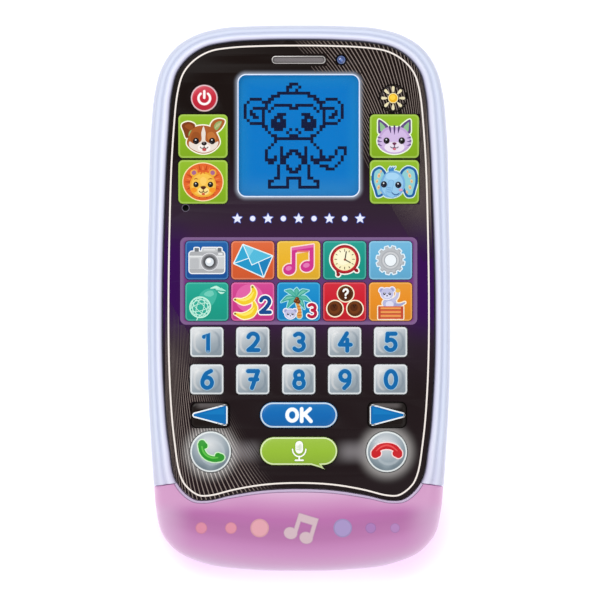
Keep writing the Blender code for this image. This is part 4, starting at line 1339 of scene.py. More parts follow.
def tile_material(name, colour, size, rim=0.45):
    """Glossy coloured plastic with a lighter rim, and painted light: paler above, darker below."""
    look = Look(name, deep(*colour), 0.3, specular=0.15, coat=0.06)
    x, y, z = look.position()
    lighter = tuple(part + (255 - part) * 0.10 for part in colour)
    darker = tuple(part * 0.93 for part in colour)
    # painted light and shade: paler towards the top, darker towards the bottom
    place = look.math("DIVIDE", look.math("ADD", y, size[1] / 2), size[1], clamp=True)
    stops = ((0.0, darker), (0.5, colour), (1.0, lighter))
    body = look.ramp(place, [(at, deep(*tone, 1.1, 0.92)) for at, tone in stops])
    edge = look.box_distance(x, y, (0.0, 0.0), size[:2], size[2])
    pale = tuple(part + (255 - part) * 0.32 for part in colour)
    shade = look.fade(edge, -rim - 0.1, -rim + 0.1)
    body = look.mix(look.math("MULTIPLY", shade, 0.5), body, rgb(*pale))
    body = look.mix(look.math("MULTIPLY", look.noise(0.25, 2.0), 0.05), body, rgb(*pale))
    look.link(body, "Base Color")
    look.bump(look.noise(1.6, 2.0), 0.12, 0.012)
    return look.material


def round_material(name, colour, radius, rim_colour, rim):
    look = Look(name, rgb(*colour), 0.25, specular=0.2, coat=0.15)
    x, y, z = look.position()
    # painted light and shade: paler towards the top, darker towards the bottom
    place = look.math("DIVIDE", look.math("ADD", y, radius), 2 * radius, clamp=True)
    upper = tuple(part + (255 - part) * 0.22 for part in colour)
    lower = tuple(part * 0.9 for part in colour)
    body = look.ramp(place, ((0.0, rgb(*lower)), (0.55, rgb(*colour)), (1.0, rgb(*upper))))
    edge = look.circle_distance(x, y, (0.0, 0.0), radius)
    body = look.mix(look.fade(edge, -rim - 0.08, -rim + 0.08), body, rgb(*rim_colour))
    body = look.mix(look.math("MULTIPLY", look.noise(0.4, 2.0), 0.08), body, rgb(*upper))
    look.link(body, "Base Color")
    look.bump(look.noise(1.6, 2.0), 0.12, 0.012)
    return look.material


def black_cap_material(name, glow):
    """Black cap, with or without a painted grey highlight across its upper edge."""
    look = Look(name, rgb(26, 20, 20), 0.22, specular=0.15)
    x, y, z = look.position()
    # painted highlight across the upper edge
    glint = look.math("MULTIPLY", look.fade(y, 1.4, 2.8), look.fade(y, 3.9, 3.1))
    side = look.fade(look.math("ABSOLUTE", x), 5.2, 2.5)
    glint = look.math("MULTIPLY", glint, side)
    body = look.mix(look.noise(0.4, 2.0), rgb(20, 13, 11), rgb(28, 20, 18))
    look.link(look.mix(look.math("MULTIPLY", glint, glow), body, rgb(98, 92, 92)), "Base Color")
    look.bump(look.noise(1.6, 2.0), 0.12, 0.012)
    return look.material


def cap_materials():
    silver = silver_material()
    domes = call_material()
    looks = {name: silver for name in DIGIT_KEYS}
    looks.update({name: domes for name in ("key_call", "key_hang_up")})
    black = black_cap_material("arrow_caps", 0.8)
    looks.update({name: black for name in ("key_left", "key_right")})
    looks["key_light"] = black_cap_material("light_cap", 0.0)
    for name, colour in TILE_COLOURS.items():
        looks[name] = tile_material(name + "_cap", colour, APP_SIZE)
    green = tile_material("animal_caps", (146, 190, 30), ANIMAL_SIZE, rim=0.55)
    looks.update({name: green for name in ANIMAL_KEYS})
    looks["key_power"] = round_material("power_cap", (196, 30, 52), TOP_KEY_RADIUS,
                                        (232, 200, 205), 0.42)
    looks["key_ok"] = tile_material("ok_cap", (6, 114, 188),
                                    (PILL_WIDTH, OK_HEIGHT, OK_HEIGHT / 2), rim=0.0)
    looks["key_talk"] = tile_material("talk_cap", (160, 198, 62),
                                      (PILL_WIDTH, TALK_HEIGHT, TALK_HEIGHT / 2), rim=0.0)
    return looks


def slot_of(name):
    """Material slot that the record gives a key."""
    groups = {"silver_key": DIGIT_KEYS + ["key_call", "key_hang_up"],
              "green_key": ANIMAL_KEYS + ["key_talk"],
              "deep_blue_key": ["key_camera", "key_ok"], "orange_key": ["key_mail"],
              "yellow_key": ["key_music"], "teal_key": ["key_clock", "key_net"],
              "sky_blue_key": ["key_settings"], "pink_key": ["key_bananas"],
              "bright_blue_key": ["key_palm"], "red_key": ["key_coconuts", "key_power"],
              "amber_key": ["key_crate"],
              "black_faceplate": ["key_light", "key_left", "key_right"]}
    return next(slot for slot, names in groups.items() if name in names)


def make_caps():
    """Every key cap on its flange; returns each cap's height function in its own frame."""
    looks = cap_materials()
    surfaces = {}
    for name in KEYS:
        profile, flange = cap_style(name)
        wide = key_outline(name, -flange)
        base = key_outline(name, 0.0)
        step = FLANGE_TOP - FLANGE_LOW
        levels = [(wide, 0.0), (wide, step - 0.1), (key_outline(name, 0.1 - flange), step),
                  (base, step)]
        for inset, height, radius in profile:
            outline = key_outline(name, inset, radius)
            levels.append((outline, PANEL_TOP + height - FLANGE_LOW))
        mesh = lattice_mesh(name + "_cap", [stack(levels)], sharp=32)
        piece(name + "_fine", mesh, looks[name], name,
              (*key_place(name), FLANGE_LOW), (name,))
        surfaces[name] = surface_under(mesh)
    return surfaces


def make_light_key_stripes(surface):
    """The fan's stripes where they cross the cap of the light key."""
    cx, cy = key_place("key_light")
    bm = bmesh.new()
    add_stripes(bm, lambda x, y: math.hypot(x - cx, y - cy) < TOP_KEY_RADIUS - 0.1,
                lambda x, y: surface(x - cx, y - cy) + FLANGE_LOW + 0.02)
    piece("light_key_stripes", mesh_of("stripes", bm), stripe_material(), "key_light")


# ---------------------------------------------------------------- prints

PRINT_STEP = 0.006
PRINT_DEPTH = 0.03
DRAPE_STEP = 0.4
FINE_DRAPE_STEP = 0.28


def grown(outline, by):
    """Outline moved outwards, or inwards for a negative distance, round at sharp corners."""
    ends = list(zip(outline, outline[1:] + outline[:1]))
    if sum(x0 * y1 - x1 * y0 for (x0, y0), (x1, y1) in ends) < 0:
        outline = outline[::-1]
    made = []
    count = len(outline)
    for k, spot in enumerate(outline):
        here = Vector(spot)
        arriving = here - Vector(outline[k - 1])
        leaving = Vector(outline[(k + 1) % count]) - here
        if min(arriving.length, leaving.length) < 1e-5:
            continue
        start = math.atan2(-arriving.x, arriving.y)
        end = math.atan2(-leaving.x, leaving.y)
        turn = (end - start + math.pi) % (2 * math.pi) - math.pi
        if turn * by > 0:
            steps = max(1, int(abs(turn) / 0.35))
            angles = [start + turn * step / steps for step in range(steps + 1)]
            made += [(here.x + by * math.cos(a), here.y + by * math.sin(a)) for a in angles]
        else:
            reach = by * min(1 / max(math.cos(turn / 2), 0.1), 1.6)
            middle = start + turn / 2
            made.append((here.x + reach * math.cos(middle), here.y + reach * math.sin(middle)))
    return made


def winding(spots, outline):
    """How many times an outline goes round each of the spots."""
    here = np.array(outline)
    after = np.roll(here, -1, axis=0)
    x, y = np.array(spots).reshape(-1, 1, 2).transpose(2, 0, 1)
    side = ((after[:, 0] - here[:, 0]) * (y - here[:, 1])
            - (x - here[:, 0]) * (after[:, 1] - here[:, 1]))
    upwards = (here[:, 1] <= y) & (after[:, 1] > y) & (side > 0)
    downwards = (here[:, 1] > y) & (after[:, 1] <= y) & (side < 0)
    return upwards.sum(axis=1) - downwards.sum(axis=1)


def resampled(outline, step):
    """Outline with points no further apart than a step."""
    made = []
    for (x0, y0), (x1, y1) in zip(outline, outline[1:] + outline[:1]):
        parts = max(1, math.ceil(math.hypot(x1 - x0, y1 - y0) / step))
        made += [(x0 + (x1 - x0) * k / parts, y0 + (y1 - y0) * k / parts) for k in range(parts)]
    return made


def ellipse(cx, cy, rx, ry=None, turn=0.0, count=36):
    ry = rx if ry is None else ry
    lean = math.radians(turn)
    points = []
    for x, y in arc(0, 0, rx, ry, 0, 360 - 360 / count, count):
        points.append((cx + x * math.cos(lean) - y * math.sin(lean),
                       cy + x * math.sin(lean) + y * math.cos(lean)))
    return points


def box(x0, y0, x1, y1, radius=0.2):
    return rounded_rect(x1 - x0, y1 - y0, radius, 5, ((x0 + x1) / 2, (y0 + y1) / 2))


def stroke(points, widths):
    """Outline of a line of the given width, or of one width at each point, with round ends."""
    spots = [Vector(point) for point in points]
    if not isinstance(widths, (list, tuple)):
        widths = [widths] * len(spots)
    left, right = [], []
    last = len(spots) - 1
    for k, spot in enumerate(spots):
        along = (spots[min(k + 1, last)] - spots[max(k - 1, 0)]).normalized()
        across = Vector((-along.y, along.x)) * (widths[k] / 2)
        left.append(tuple(spot + across))
        right.append(tuple(spot - across))
    made = []
    for side, centre, width, along in (
            (left[::-1], spots[0], widths[0], (spots[0] - spots[1])),
            (right, spots[-1], widths[-1], (spots[-1] - spots[-2]))):
        made += side
        if width > 0.12:
            heading = math.degrees(math.atan2(along.y, along.x))
            made += arc(centre.x, centre.y, width / 2, width / 2, heading - 75, heading + 75, 7)
    return made[::-1]


def tapered(points, widths, per_span=5):
    """Smooth stroke through points, with the widths eased between them."""
    path = smooth_open(points, per_span)
    count = len(path) - 1
    spans = len(widths) - 1
    eased = []
    for k in range(count + 1):
        at = min(k / count * spans, spans - 1e-6)
        first = int(at)
        eased.append(widths[first] + (widths[first + 1] - widths[first]) * (at - first))
    return stroke(path, eased)


class Print:
    """Thin coloured shapes on a surface, each a little above the one before it."""

    def __init__(self, surface, step=None):
        self.surface = surface
        self.step = step            # longest edge where the surface is curved
        self.bm = bmesh.new()
        self.inks = []
        self.level = 0

    def add(self, outline, colour, grow=0.0):
        if grow:
            outline = grown(outline, grow)
        inner = []
        if self.step:
            outline = resampled(outline, self.step)
            inner = self.grid_inside(outline)
        count = len(outline)
        loop = [(k, (k + 1) % count) for k in range(count)]
        spots = [Vector(point) for point in outline + inner]
        points, _, faces = delaunay_2d_cdt(spots, loop, [], 0, 1e-4)[:3]
        middles = [sum((points[k] for k in face), Vector((0, 0))) / len(face) for face in faces]
        turns = winding(middles, outline)
        faces = [face for face, count in zip(faces, turns) if count]
        used = sorted({k for face in faces for k in face})
        renamed = {old: new for new, old in enumerate(used)}
        points = [points[k] for k in used]
        faces = [[renamed[k] for k in face] for face in faces]
        if colour not in self.inks:
            self.inks.append(colour)
        index = self.inks.index(colour)
        self.level += 1
        lift = PRINT_STEP * self.level
        heights = [self.surface(point.x, point.y) or self.surface(0.0, 0.0) for point in points]
        low, high = [], []
        for point, height in zip(points, heights):
            low.append(self.bm.verts.new(Vector((*point, height - PRINT_DEPTH)) * MM))
            high.append(self.bm.verts.new(Vector((*point, height + lift)) * MM))
        uses = {}
        for face in faces:
            for pair in zip(face, list(face[1:]) + [face[0]]):
                uses[tuple(sorted(pair))] = uses.get(tuple(sorted(pair)), 0) + 1
            self.bm.faces.new([high[k] for k in face]).material_index = index
            self.bm.faces.new([low[k] for k in reversed(face)]).material_index = index
        for face in faces:
            for first, second in zip(face, list(face[1:]) + [face[0]]):
                if uses[tuple(sorted((first, second)))] == 1:
                    corners = (low[first], low[second], high[second], high[first])
                    self.bm.faces.new(corners).material_index = index
        return self

    def grid_inside(self, outline):
        """Grid points that lie inside an outline and not too close to it."""
        edge = np.array(outline)
        low, high = edge.min(axis=0), edge.max(axis=0)
        xs = np.arange(low[0] + self.step / 2, high[0], self.step)
        ys = np.arange(low[1] + self.step / 2, high[1], self.step)
        spots = np.array([(x, y) for x in xs for y in ys])
        if not len(spots):
            return []
        away = np.linalg.norm(spots[:, None] - edge[None], axis=2).min(axis=1)
        keep = (winding(spots, outline) != 0) & (away > 0.3 * self.step)
        return [tuple(spot) for spot in spots[keep]]

    def sticker(self, shapes, colour, grow):
        """Border of one colour round a group of shapes."""
        for outline in shapes:
            self.add(outline, colour, grow)

    def place(self, name, body, slot, at):
        mesh = mesh_of(name, self.bm, 25)
        for colour in self.inks:
            mesh.materials.append(ink(*colour))
        return piece(name, mesh, None, body, at)


WHITE = (250, 250, 248)


def glyph_paths(sign):
    """Strokes of a digit or simple sign, in a box one unit high round the origin."""
    if sign == "0":
        return [arc(0, 0, .27, .43, 80, 280, 20), arc(0, 0, .27, .43, -100, 100, 20)]
    if sign == "1":
        return [[(-.16, .27), (.05, .45), (.05, -.45)]]
    if sign == "2":
        bend = smooth_open([(.22, .08), (.05, -.16), (-.25, -.42)], 4)
        return [arc(0, .19, .25, .25, 165, -25, 14) + bend[1:], [(-.25, -.42), (.28, -.42)]]
    if sign == "3":
        return [arc(-.02, .22, .24, .21, 140, -80, 14), arc(-.02, -.2, .27, .235, 85, -145, 16)]
    if sign == "4":
        return [[(.1, .45), (-.27, -.14)], [(-.27, -.14), (.3, -.14)], [(.12, .12), (.12, -.45)]]
    if sign == "5":
        return [[(.24, .43), (-.17, .43)], [(-.17, .43), (-.2, .06)],
                [(-.2, .06)] + arc(-.02, -.15, .26, .27, 115, -150, 18)]
    if sign == "6":
        return [smooth_open([(.2, .44), (-.06, .29), (-.24, -.05)], 6),
                arc(0, -.17, .25, .27, 60, 270, 16), arc(0, -.17, .25, .27, -110, 100, 16)]
    if sign == "7":
        return [[(-.26, .43), (.26, .43)], [(.26, .43), (-.06, -.45)], [(-.15, .0), (.22, .0)]]
    if sign == "8":
        return [arc(0, .22, .2, .2, 60, 300, 14), arc(0, .22, .2, .2, -120, 120, 14),
                arc(0, -.2, .25, .25, 60, 300, 14), arc(0, -.2, .25, .25, -120, 120, 14)]
    if sign == "9":
        return [smooth_open([(.24, .1), (.19, -.2), (-.04, -.45)], 6),
                arc(0, .18, .24, .25, 60, 300, 16), arc(0, .18, .24, .25, -120, 120, 16)]
    if sign == "O":
        return [arc(0, 0, .36, .41, 60, 300, 20), arc(0, 0, .36, .41, -120, 120, 20)]
    if sign == "K":
        return [[(-.3, .44), (-.3, -.44)], [(-.2, -.02), (.3, .44)], [(-.12, .1), (.36, -.44)]]
    return [arc(0, .2, .22, .22, 170, -55, 14) + [(.02, -.06), (.0, -.16)],
            [(0, -.42), (0.001, -.43)]]


def glyph(p, sign, centre, height, weight, colour, border=None, grow=0.3):
    """Digit or sign printed at a height, with a border below it if one is given."""
    shapes = []
    for path in glyph_paths(sign):
        points = [(centre[0] + x * height, centre[1] + y * height) for x, y in path]
        shapes.append(stroke(points, weight))
    if border:
        p.sticker(shapes, border, grow)
    for outline in shapes:
        p.add(outline, colour)


def draw_eye(p, x, y, radius, colour=(28, 20, 22)):
    p.add(ellipse(x, y, radius, radius * 1.05), colour)
    p.add(ellipse(x - 0.1 * radius, y + 0.36 * radius, radius * 0.26), (214, 220, 224))
    p.add(ellipse(x - 0.35 * radius, y - 0.42 * radius, radius * 0.12), (110, 112, 118))


def draw_smile(p, x, y, width, colour, weight=0.22):
    p.add(stroke(arc(x - width / 2, y + 0.1, width / 2, width * 0.36, -170, -10, 9), weight),
          colour)
    p.add(stroke(arc(x + width / 2, y + 0.1, width / 2, width * 0.36, -170, -10, 9), weight),
          colour)


# ---------------------------------------------------------------- small picture keys

def draw_camera(p):
    body = box(-5.2, -3.8, 5.2, 2.6, 0.8)
    hump = [(-1.6, 2.4), (-1.2, 3.7), (2.8, 3.7), (3.3, 2.4)]
    knobs = [box(-3.7, 2.5, -2.4, 3.7, 0.2), box(3.2, 2.5, 4.4, 3.7, 0.2)]
    p.sticker([body, hump] + knobs, (240, 243, 246), 0.34)
    for outline in knobs:
        p.add(outline, (120, 124, 130))
    p.add(body, (178, 180, 183)).add(hump, (196, 198, 200))
    p.add(box(-1.0, 2.9, 2.6, 3.4, 0.2), (222, 223, 225))
    p.add(box(-5.2, -2.6, 5.2, 1.4, 0.1), (206, 208, 210))
    p.add(box(-5.2, 0.9, 5.2, 1.4, 0.1), (226, 228, 229))
    p.add(box(-5.0, -2.5, -2.4, 0.6, 0.3), (190, 192, 195))
    p.add(box(3.4, 1.6, 4.7, 2.2, 0.15), (232, 234, 236))
    lens = (0.8, -0.5)
    for radius, shade in ((2.75, 224), (2.5, 158), (2.1, 120), (1.72, 92)):
        p.add(ellipse(*lens, radius), (shade, shade + 1, shade + 5))
    p.add(ellipse(*lens, 1.26), (222, 228, 234))
    p.add(ellipse(0.6, -0.2, 0.66), (250, 250, 250))


def draw_mail(p):
    corners = [(-2.9, 4.6), (5.8, 1.26), (3.17, -4.9), (-5.55, -0.9)]
    p.sticker([corners], (226, 244, 246), 0.34)
    p.add(corners, (58, 172, 212))
    p.add([(-2.9, 4.6), (5.8, 1.26), (-0.3, -1.4)], (92, 190, 220))
    p.add([(-2.9, 4.6), (0.4, 3.3), (-1.3, 0.7)], (132, 208, 230))
    p.add([(-5.55, -0.9), (3.17, -4.9), (1.8, -0.8), (-0.3, -1.4), (-1.3, 0.6)], (40, 156, 202))
    p.add([(5.8, 1.26), (3.17, -4.9), (1.8, -0.8)], (30, 136, 190))
    for path in (((-2.9, 4.6), (-0.3, -1.4)), ((-0.3, -1.4), (5.8, 1.26)),
                 ((-5.55, -0.9), (-1.3, 0.6)), ((3.17, -4.9), (1.8, -0.8))):
        p.add(stroke(path, 0.26), (232, 247, 250))


def draw_music(p):
    beam = [(-2.1, 2.1), (-2.1, 3.75), (4.48, 4.75), (4.48, 3.1)]
    stems = [box(-2.1, -2.9, -0.95, 3.4, 0.1), box(3.25, -1.8, 4.48, 4.2, 0.1)]
    heads = [ellipse(-2.8, -2.75, 1.85, 1.6, 15), ellipse(2.5, -1.85, 1.95, 1.6, 15)]
    shapes = [beam] + stems + heads
    p.sticker(shapes, (250, 226, 214), 0.36)
    for outline in shapes:
        p.add(outline, (208, 62, 146))
    p.add([(-2.1, 2.9), (-2.1, 3.75), (4.48, 4.75), (4.48, 3.9)], (224, 112, 176))
    p.add(box(-0.5, 2.4, 3.0, 2.9, 0.1), (226, 130, 120))
    p.add(ellipse(-3.0, -2.4, 0.95, 0.7, 15), (228, 130, 186))
    p.add(ellipse(2.3, -1.5, 1.0, 0.7, 15), (228, 130, 186))


def draw_clock(p):
    feet = [ellipse(-1.9, -4.3, 0.6, 0.5, 30), ellipse(3.5, -3.0, 0.7, 0.5, -40),
            stroke([(-2.2, -3.2), (-2.0, -4.4)], 0.7), stroke([(2.4, -2.2), (3.6, -3.1)], 0.7)]
    rim = ellipse(0, 0.3, 4.3, count=48)
    p.sticker(feet + [rim], (245, 248, 240), 0.38)
    for outline in feet:
        p.add(outline, (150, 28, 40))
    p.add(rim, (166, 28, 42)).add(ellipse(0, 0.3, 3.85, count=48), (196, 52, 58))
    p.add(ellipse(0, 0.3, 3.4, count=48), (246, 238, 196))
    p.add(ellipse(-0.5, 0.9, 2.3, count=40), (250, 245, 214))
    for k in range(12):
        angle = math.radians(30 * k)
        x, y = math.cos(angle), math.sin(angle)
        inner = 2.55 if k % 3 else 2.35
        p.add(stroke([(inner * x, 0.3 + inner * y), (2.95 * x, 0.3 + 2.95 * y)], 0.2), (96, 62, 44))
    p.add(stroke([(0.1, 0.2), (0.5, 2.6)], 0.28), (52, 34, 30))
    p.add(stroke([(0.1, 0.2), (1.7, -0.7)], 0.28), (52, 34, 30))
    p.add(ellipse(0.1, 0.2, 0.34), (150, 60, 40))


def draw_gear(p):
    points = []
    for k in range(12):
        for part, radius in ((0.0, 3.55), (0.28, 3.6), (0.38, 4.2), (0.78, 4.2), (0.88, 3.6)):
            angle = math.radians(30 * (k + part))
            points.append((radius * math.cos(angle), radius * math.sin(angle)))
    p.add(points, (226, 240, 248), 0.36)
    p.add(points, (172, 176, 181))
    p.add([(x * 0.93 - 0.1, y * 0.93 + 0.12) for x, y in points], (190, 193, 197))
    p.add(ellipse(0, 0, 2.9, count=40), (178, 181, 186))
    p.add(ellipse(0, 0, 2.5, count=40), (206, 208, 211))
    p.add(ellipse(0, 0, 1.95, count=40), (160, 166, 173))
    p.add(ellipse(0, 0, 1.7, count=40), (238, 243, 247))


def draw_net(p):
    mint = (196, 240, 224)
    p.add(smooth_closed([(-2.4, 1.5), (-1.0, 3.3), (1.6, 3.9), (3.0, 2.6), (2.6, 0.6),
                         (1.3, -1.2), (-0.6, -1.0)], 5), (74, 186, 166))
    p.add(smooth_closed([(-0.9, 2.2), (0.4, 3.2), (1.7, 3.2), (2.1, 2.2), (1.0, 1.5)], 5),
          (120, 206, 188))
    p.add(ellipse(-2.0, -1.7, 3.1, count=44), (56, 176, 156))
    for turn in (0, 60, 120):
        for flat in (1.05, 2.2):
            for start in (0, 180):
                ring = arc(0, 0, 3.0, flat, start, start + 180, 16)
                lean = math.radians(turn + 15)
                path = [(-2.0 + x * math.cos(lean) - y * math.sin(lean),
                         -1.7 + x * math.sin(lean) + y * math.cos(lean)) for x, y in ring]
                p.add(stroke(path, 0.2), mint)
    for start in (0, 120, 240):
        p.add(stroke(arc(-2.0, -1.7, 3.1, 3.1, start, start + 121, 16), 0.34), mint)
    p.add(stroke([(-2.6, -4.6), (-3.0, -5.5)], 0.3), mint)
    p.add(tapered([(1.2, 4.0), (2.8, 4.3), (4.2, 3.7)], (0.3, 0.9, 0.5)), mint)
    p.add(tapered([(2.8, 3.6), (4.2, 3.7), (5.6, 3.2)], (0.3, 0.9, 0.2)), (170, 230, 212))
    p.add(tapered([(3.4, 3.0), (4.4, 2.6), (5.2, 2.7)], (0.2, 0.7, 0.2)), mint)


def draw_bananas(p):
    upper = tapered([(-0.1, 4.5), (0.35, 2.9), (-0.5, 1.1), (-2.8, 0.0), (-5.3, 0.6)],
                    (0.55, 1.5, 2.2, 1.9, 0.5))
    lower = tapered([(0.3, -0.2), (0.6, -1.9), (-0.5, -3.5), (-2.7, -4.3), (-5.3, -3.6)],
                    (0.7, 1.6, 2.2, 1.8, 0.5))
    p.add(ellipse(-1.0, 1.0, 4.2, count=40), (226, 108, 172))
    p.sticker([upper, lower], (252, 244, 200), 0.34)
    for outline in (upper, lower):
        p.add(outline, (240, 208, 52))
    p.add(tapered([(0.2, 2.8), (-0.75, 1.35), (-2.8, 0.45), (-4.7, 0.75)],
                  (0.3, 0.8, 0.7, 0.2)), (250, 232, 110))
    p.add(tapered([(0.4, -1.9), (-0.75, -3.2), (-2.7, -3.9), (-4.7, -3.5)],
                  (0.3, 0.8, 0.7, 0.2)), (250, 232, 110))
    p.add(ellipse(-0.1, 4.4, 0.34), (150, 140, 40)).add(ellipse(-5.3, 0.6, 0.3), (140, 100, 30))
    p.add(ellipse(-5.3, -3.6, 0.3), (140, 100, 30))
    glyph(p, "2", (3.7, -1.0), 5.2, 1.15, (24, 82, 148), WHITE, 0.36)


def draw_small_animal(p, x, y, size, ears):
    """Little grey-lilac animal's head with two dark eyes."""
    skin, shade = (196, 196, 226), (160, 162, 204)
    head = ellipse(x, y, size, size * 0.88)
    shapes = [head] + [ellipse(x + dx * size, y + dy * size, size * 0.42) for dx, dy in ears]
    p.sticker(shapes, (244, 242, 248), 0.26)
    for outline in shapes[1:]:
        p.add(outline, skin).add(outline, shade, -0.25 * size * 0.6)
    p.add(head, skin)
    p.add(ellipse(x, y - 0.42 * size, size * 0.55, size * 0.34), (222, 222, 240))
    for side in (-1, 1):
        p.add(ellipse(x + side * 0.42 * size, y - 0.02 * size, size * 0.2), (48, 44, 78))
        p.add(ellipse(x + side * 0.42 * size + 0.06, y + 0.08 * size, size * 0.07), WHITE)
    p.add(ellipse(x, y - 0.34 * size, size * 0.13, size * 0.1), (70, 60, 100))


def draw_palm(p):
    trunk = tapered([(-0.5, -0.4), (0.1, -2.1), (0.2, -4.3)], (0.8, 1.1, 1.5))
    leaves = []
    for angle, reach in ((88, 3.6), (38, 4.6), (-8, 4.4), (-48, 3.6), (140, 4.4), (188, 4.6),
                         (222, 3.8)):
        lean = math.radians(angle)
        tip = (reach * math.cos(lean), reach * math.sin(lean) - 0.7)
        middle = (0.55 * reach * math.cos(lean), 0.55 * reach * math.sin(lean) + 0.25)
        spots = [(-0.7, 1.2), (-0.7 + middle[0], 1.2 + middle[1]), (-0.7 + tip[0], 1.2 + tip[1])]
        leaves.append(tapered(spots, (0.7, 1.45, 0.15)))
    p.sticker([trunk] + leaves, (172, 232, 240), 0.28)
    p.add(trunk, (226, 162, 84))
    for k in range(4):
        y = -1.5 - 0.9 * k
        p.add(stroke([(-0.35 + 0.04 * k, y), (0.75 + 0.05 * k, y + 0.15)], 0.18), (186, 112, 52))
    for k, outline in enumerate(leaves):
        p.add(outline, (52, 160, 150) if k % 2 else (76, 176, 160))
        p.add(outline, (120, 198, 176) if k % 2 else (98, 188, 170), -0.28)
    for x, y in ((-0.9, 0.2), (-0.1, 0.0), (-0.5, 0.8)):
        p.add(ellipse(x, y, 0.62), (116, 62, 24)).add(ellipse(x - 0.15, y + 0.2, 0.22),
                                                     (178, 116, 62))
    draw_small_animal(p, -2.5, -3.7, 1.6, ((-0.85, 0.55), (0.85, 0.55)))
    glyph(p, "3", (4.0, -2.7), 4.3, 0.95, (186, 30, 70), WHITE, 0.34)


def draw_coconuts(p):
    spots = ((-2.9, -2.1), (3.1, -2.1), (0.3, 2.4))
    p.sticker([ellipse(x, y, 2.3) for x, y in spots], (252, 240, 214), 0.36)
    for x, y in spots:
        p.add(ellipse(x, y, 2.3, count=40), (98, 50, 18))
        p.add(ellipse(x - 0.2, y + 0.25, 1.8, count=36), (122, 66, 26))
        p.add(ellipse(x - 0.3, y + 0.4, 1.15, count=30), (96, 48, 18))
        for dx, dy in ((-0.5, 0.9), (0.1, 1.0), (-0.2, 0.45)):
            p.add(ellipse(x + dx, y + dy, 0.2, 0.26), (60, 28, 10))
    x, y = spots[2]
    p.add(ellipse(x, y, 1.75, count=36), (84, 42, 16))
    glyph(p, "?", (x, y + 0.05), 3.0, 0.62, WHITE)


def draw_crate(p):
    crate = box(-3.7, -5.2, 3.8, -1.4, 0.2)
    body = ellipse(-0.3, -0.5, 2.1, 1.6)
    arm = tapered([(0.8, 0.3), (1.9, 1.6), (2.2, 3.2)], (1.1, 0.9, 0.8))
    tail = tapered([(1.4, -0.9), (3.0, -0.9), (4.2, -0.3)], (0.9, 0.8, 0.5))
    p.sticker([crate, body, arm, tail], (252, 240, 214), 0.34)
    p.add(body, (186, 188, 220)).add(ellipse(-0.3, -0.8, 1.2, 1.0), (222, 222, 240))
    p.add(arm, (196, 196, 226)).add(tail, (170, 170, 208))
    p.add(ellipse(2.2, 3.3, 0.75, 0.6), (236, 190, 90))
    p.add(crate, (216, 104, 74))
    for k in range(3):
        y = -4.75 + 1.15 * k
        p.add(box(-3.4, y, 3.5, y + 0.72, 0.1), (238, 166, 96))
        p.add(box(-3.4, y, 3.5, y + 0.2, 0.08), (186, 96, 52))
    for x in (-3.7, 3.1):
        p.add(box(x, -5.2, x + 0.7, -1.4, 0.12), (200, 84, 58))
    draw_small_animal(p, -1.05, 2.4, 1.9, ((-0.85, 0.5), (0.8, 0.6)))


# ---------------------------------------------------------------- animal keys

def draw_dog(p):
    fur, dark, pale = (176, 102, 48), (134, 68, 26), (232, 222, 212)
    head = smooth_closed([(-2.6, 2.6), (0.0, 3.2), (2.7, 2.5), (4.3, 0.4), (5.0, -2.0),
                          (3.3, -4.2), (0.4, -5.2), (-2.7, -4.4), (-4.8, -2.3), (-4.1, 0.3)], 5)
    left = smooth_closed([(-2.4, 3.4), (-4.6, 4.3), (-6.3, 3.5), (-5.7, 1.2), (-4.9, -0.6),
                          (-3.6, 0.2), (-2.6, 1.8)], 5)
    right = smooth_closed([(2.2, 2.7), (3.1, 4.6), (5.0, 5.2), (6.5, 4.7), (5.9, 2.9),
                           (4.7, 1.6), (3.4, 1.0)], 5)
    p.sticker([left, right, head], (250, 246, 226), 0.38)
    p.add(right, fur)
    p.add(smooth_closed([(3.3, 2.6), (4.0, 4.1), (5.6, 4.5), (5.0, 2.8), (4.0, 1.8)], 5),
          (152, 178, 112))
    for k in range(3):
        p.add(stroke([(3.7 + 0.5 * k, 2.4 + 0.3 * k), (4.3 + 0.5 * k, 3.6 + 0.3 * k)], 0.22),
              (206, 196, 150))
    p.add(left, dark)
    p.add(smooth_closed([(-2.9, 2.9), (-4.5, 3.6), (-5.5, 3.0), (-4.6, 2.2), (-3.4, 1.7)], 5),
          (160, 88, 38))
    p.add(smooth_closed([(-4.0, 1.5), (-3.2, 1.9), (-3.3, 0.5), (-4.2, -0.3)], 5),
          (152, 178, 112))
    p.add(head, fur)
    p.add(smooth_closed([(-4.1, -1.6), (-2.6, -2.3), (-0.6, -1.5), (-0.45, 1.2), (0.15, 3.0),
                         (0.75, 1.2), (0.9, -1.5), (2.9, -2.2), (4.6, -1.6), (4.2, -3.2),
                         (2.6, -4.4), (0.3, -5.0), (-2.4, -4.3), (-4.1, -3.0)], 5), pale)
    p.add(smooth_closed([(1.4, 0.9), (2.8, 1.3), (3.9, -0.3), (3.7, -1.9), (2.0, -1.5),
                         (1.3, -0.4)], 5), (196, 124, 62))
    p.add(smooth_closed([(-1.1, 0.9), (-2.6, 1.3), (-3.6, -0.3), (-3.4, -1.9), (-1.7, -1.5),
                         (-0.9, -0.4)], 5), (160, 90, 40))
    p.add(ellipse(0.35, -3.5, 1.9, 1.2), (246, 240, 234))
    for x in (-2.1, 2.75):
        draw_eye(p, x, -1.45, 0.92)
    p.add(ellipse(0.35, -2.2, 0.78, 0.56), (34, 24, 26)).add(ellipse(0.25, -2.0, 0.3, 0.14),
                                                            (150, 140, 142))
    p.add(stroke([(0.35, -2.6), (0.35, -3.3)], 0.2), (70, 44, 36))
    draw_smile(p, 0.35, -3.3, 1.15, (70, 44, 36))
    p.add(ellipse(0.4, -4.05, 0.62, 0.42), (196, 84, 84))


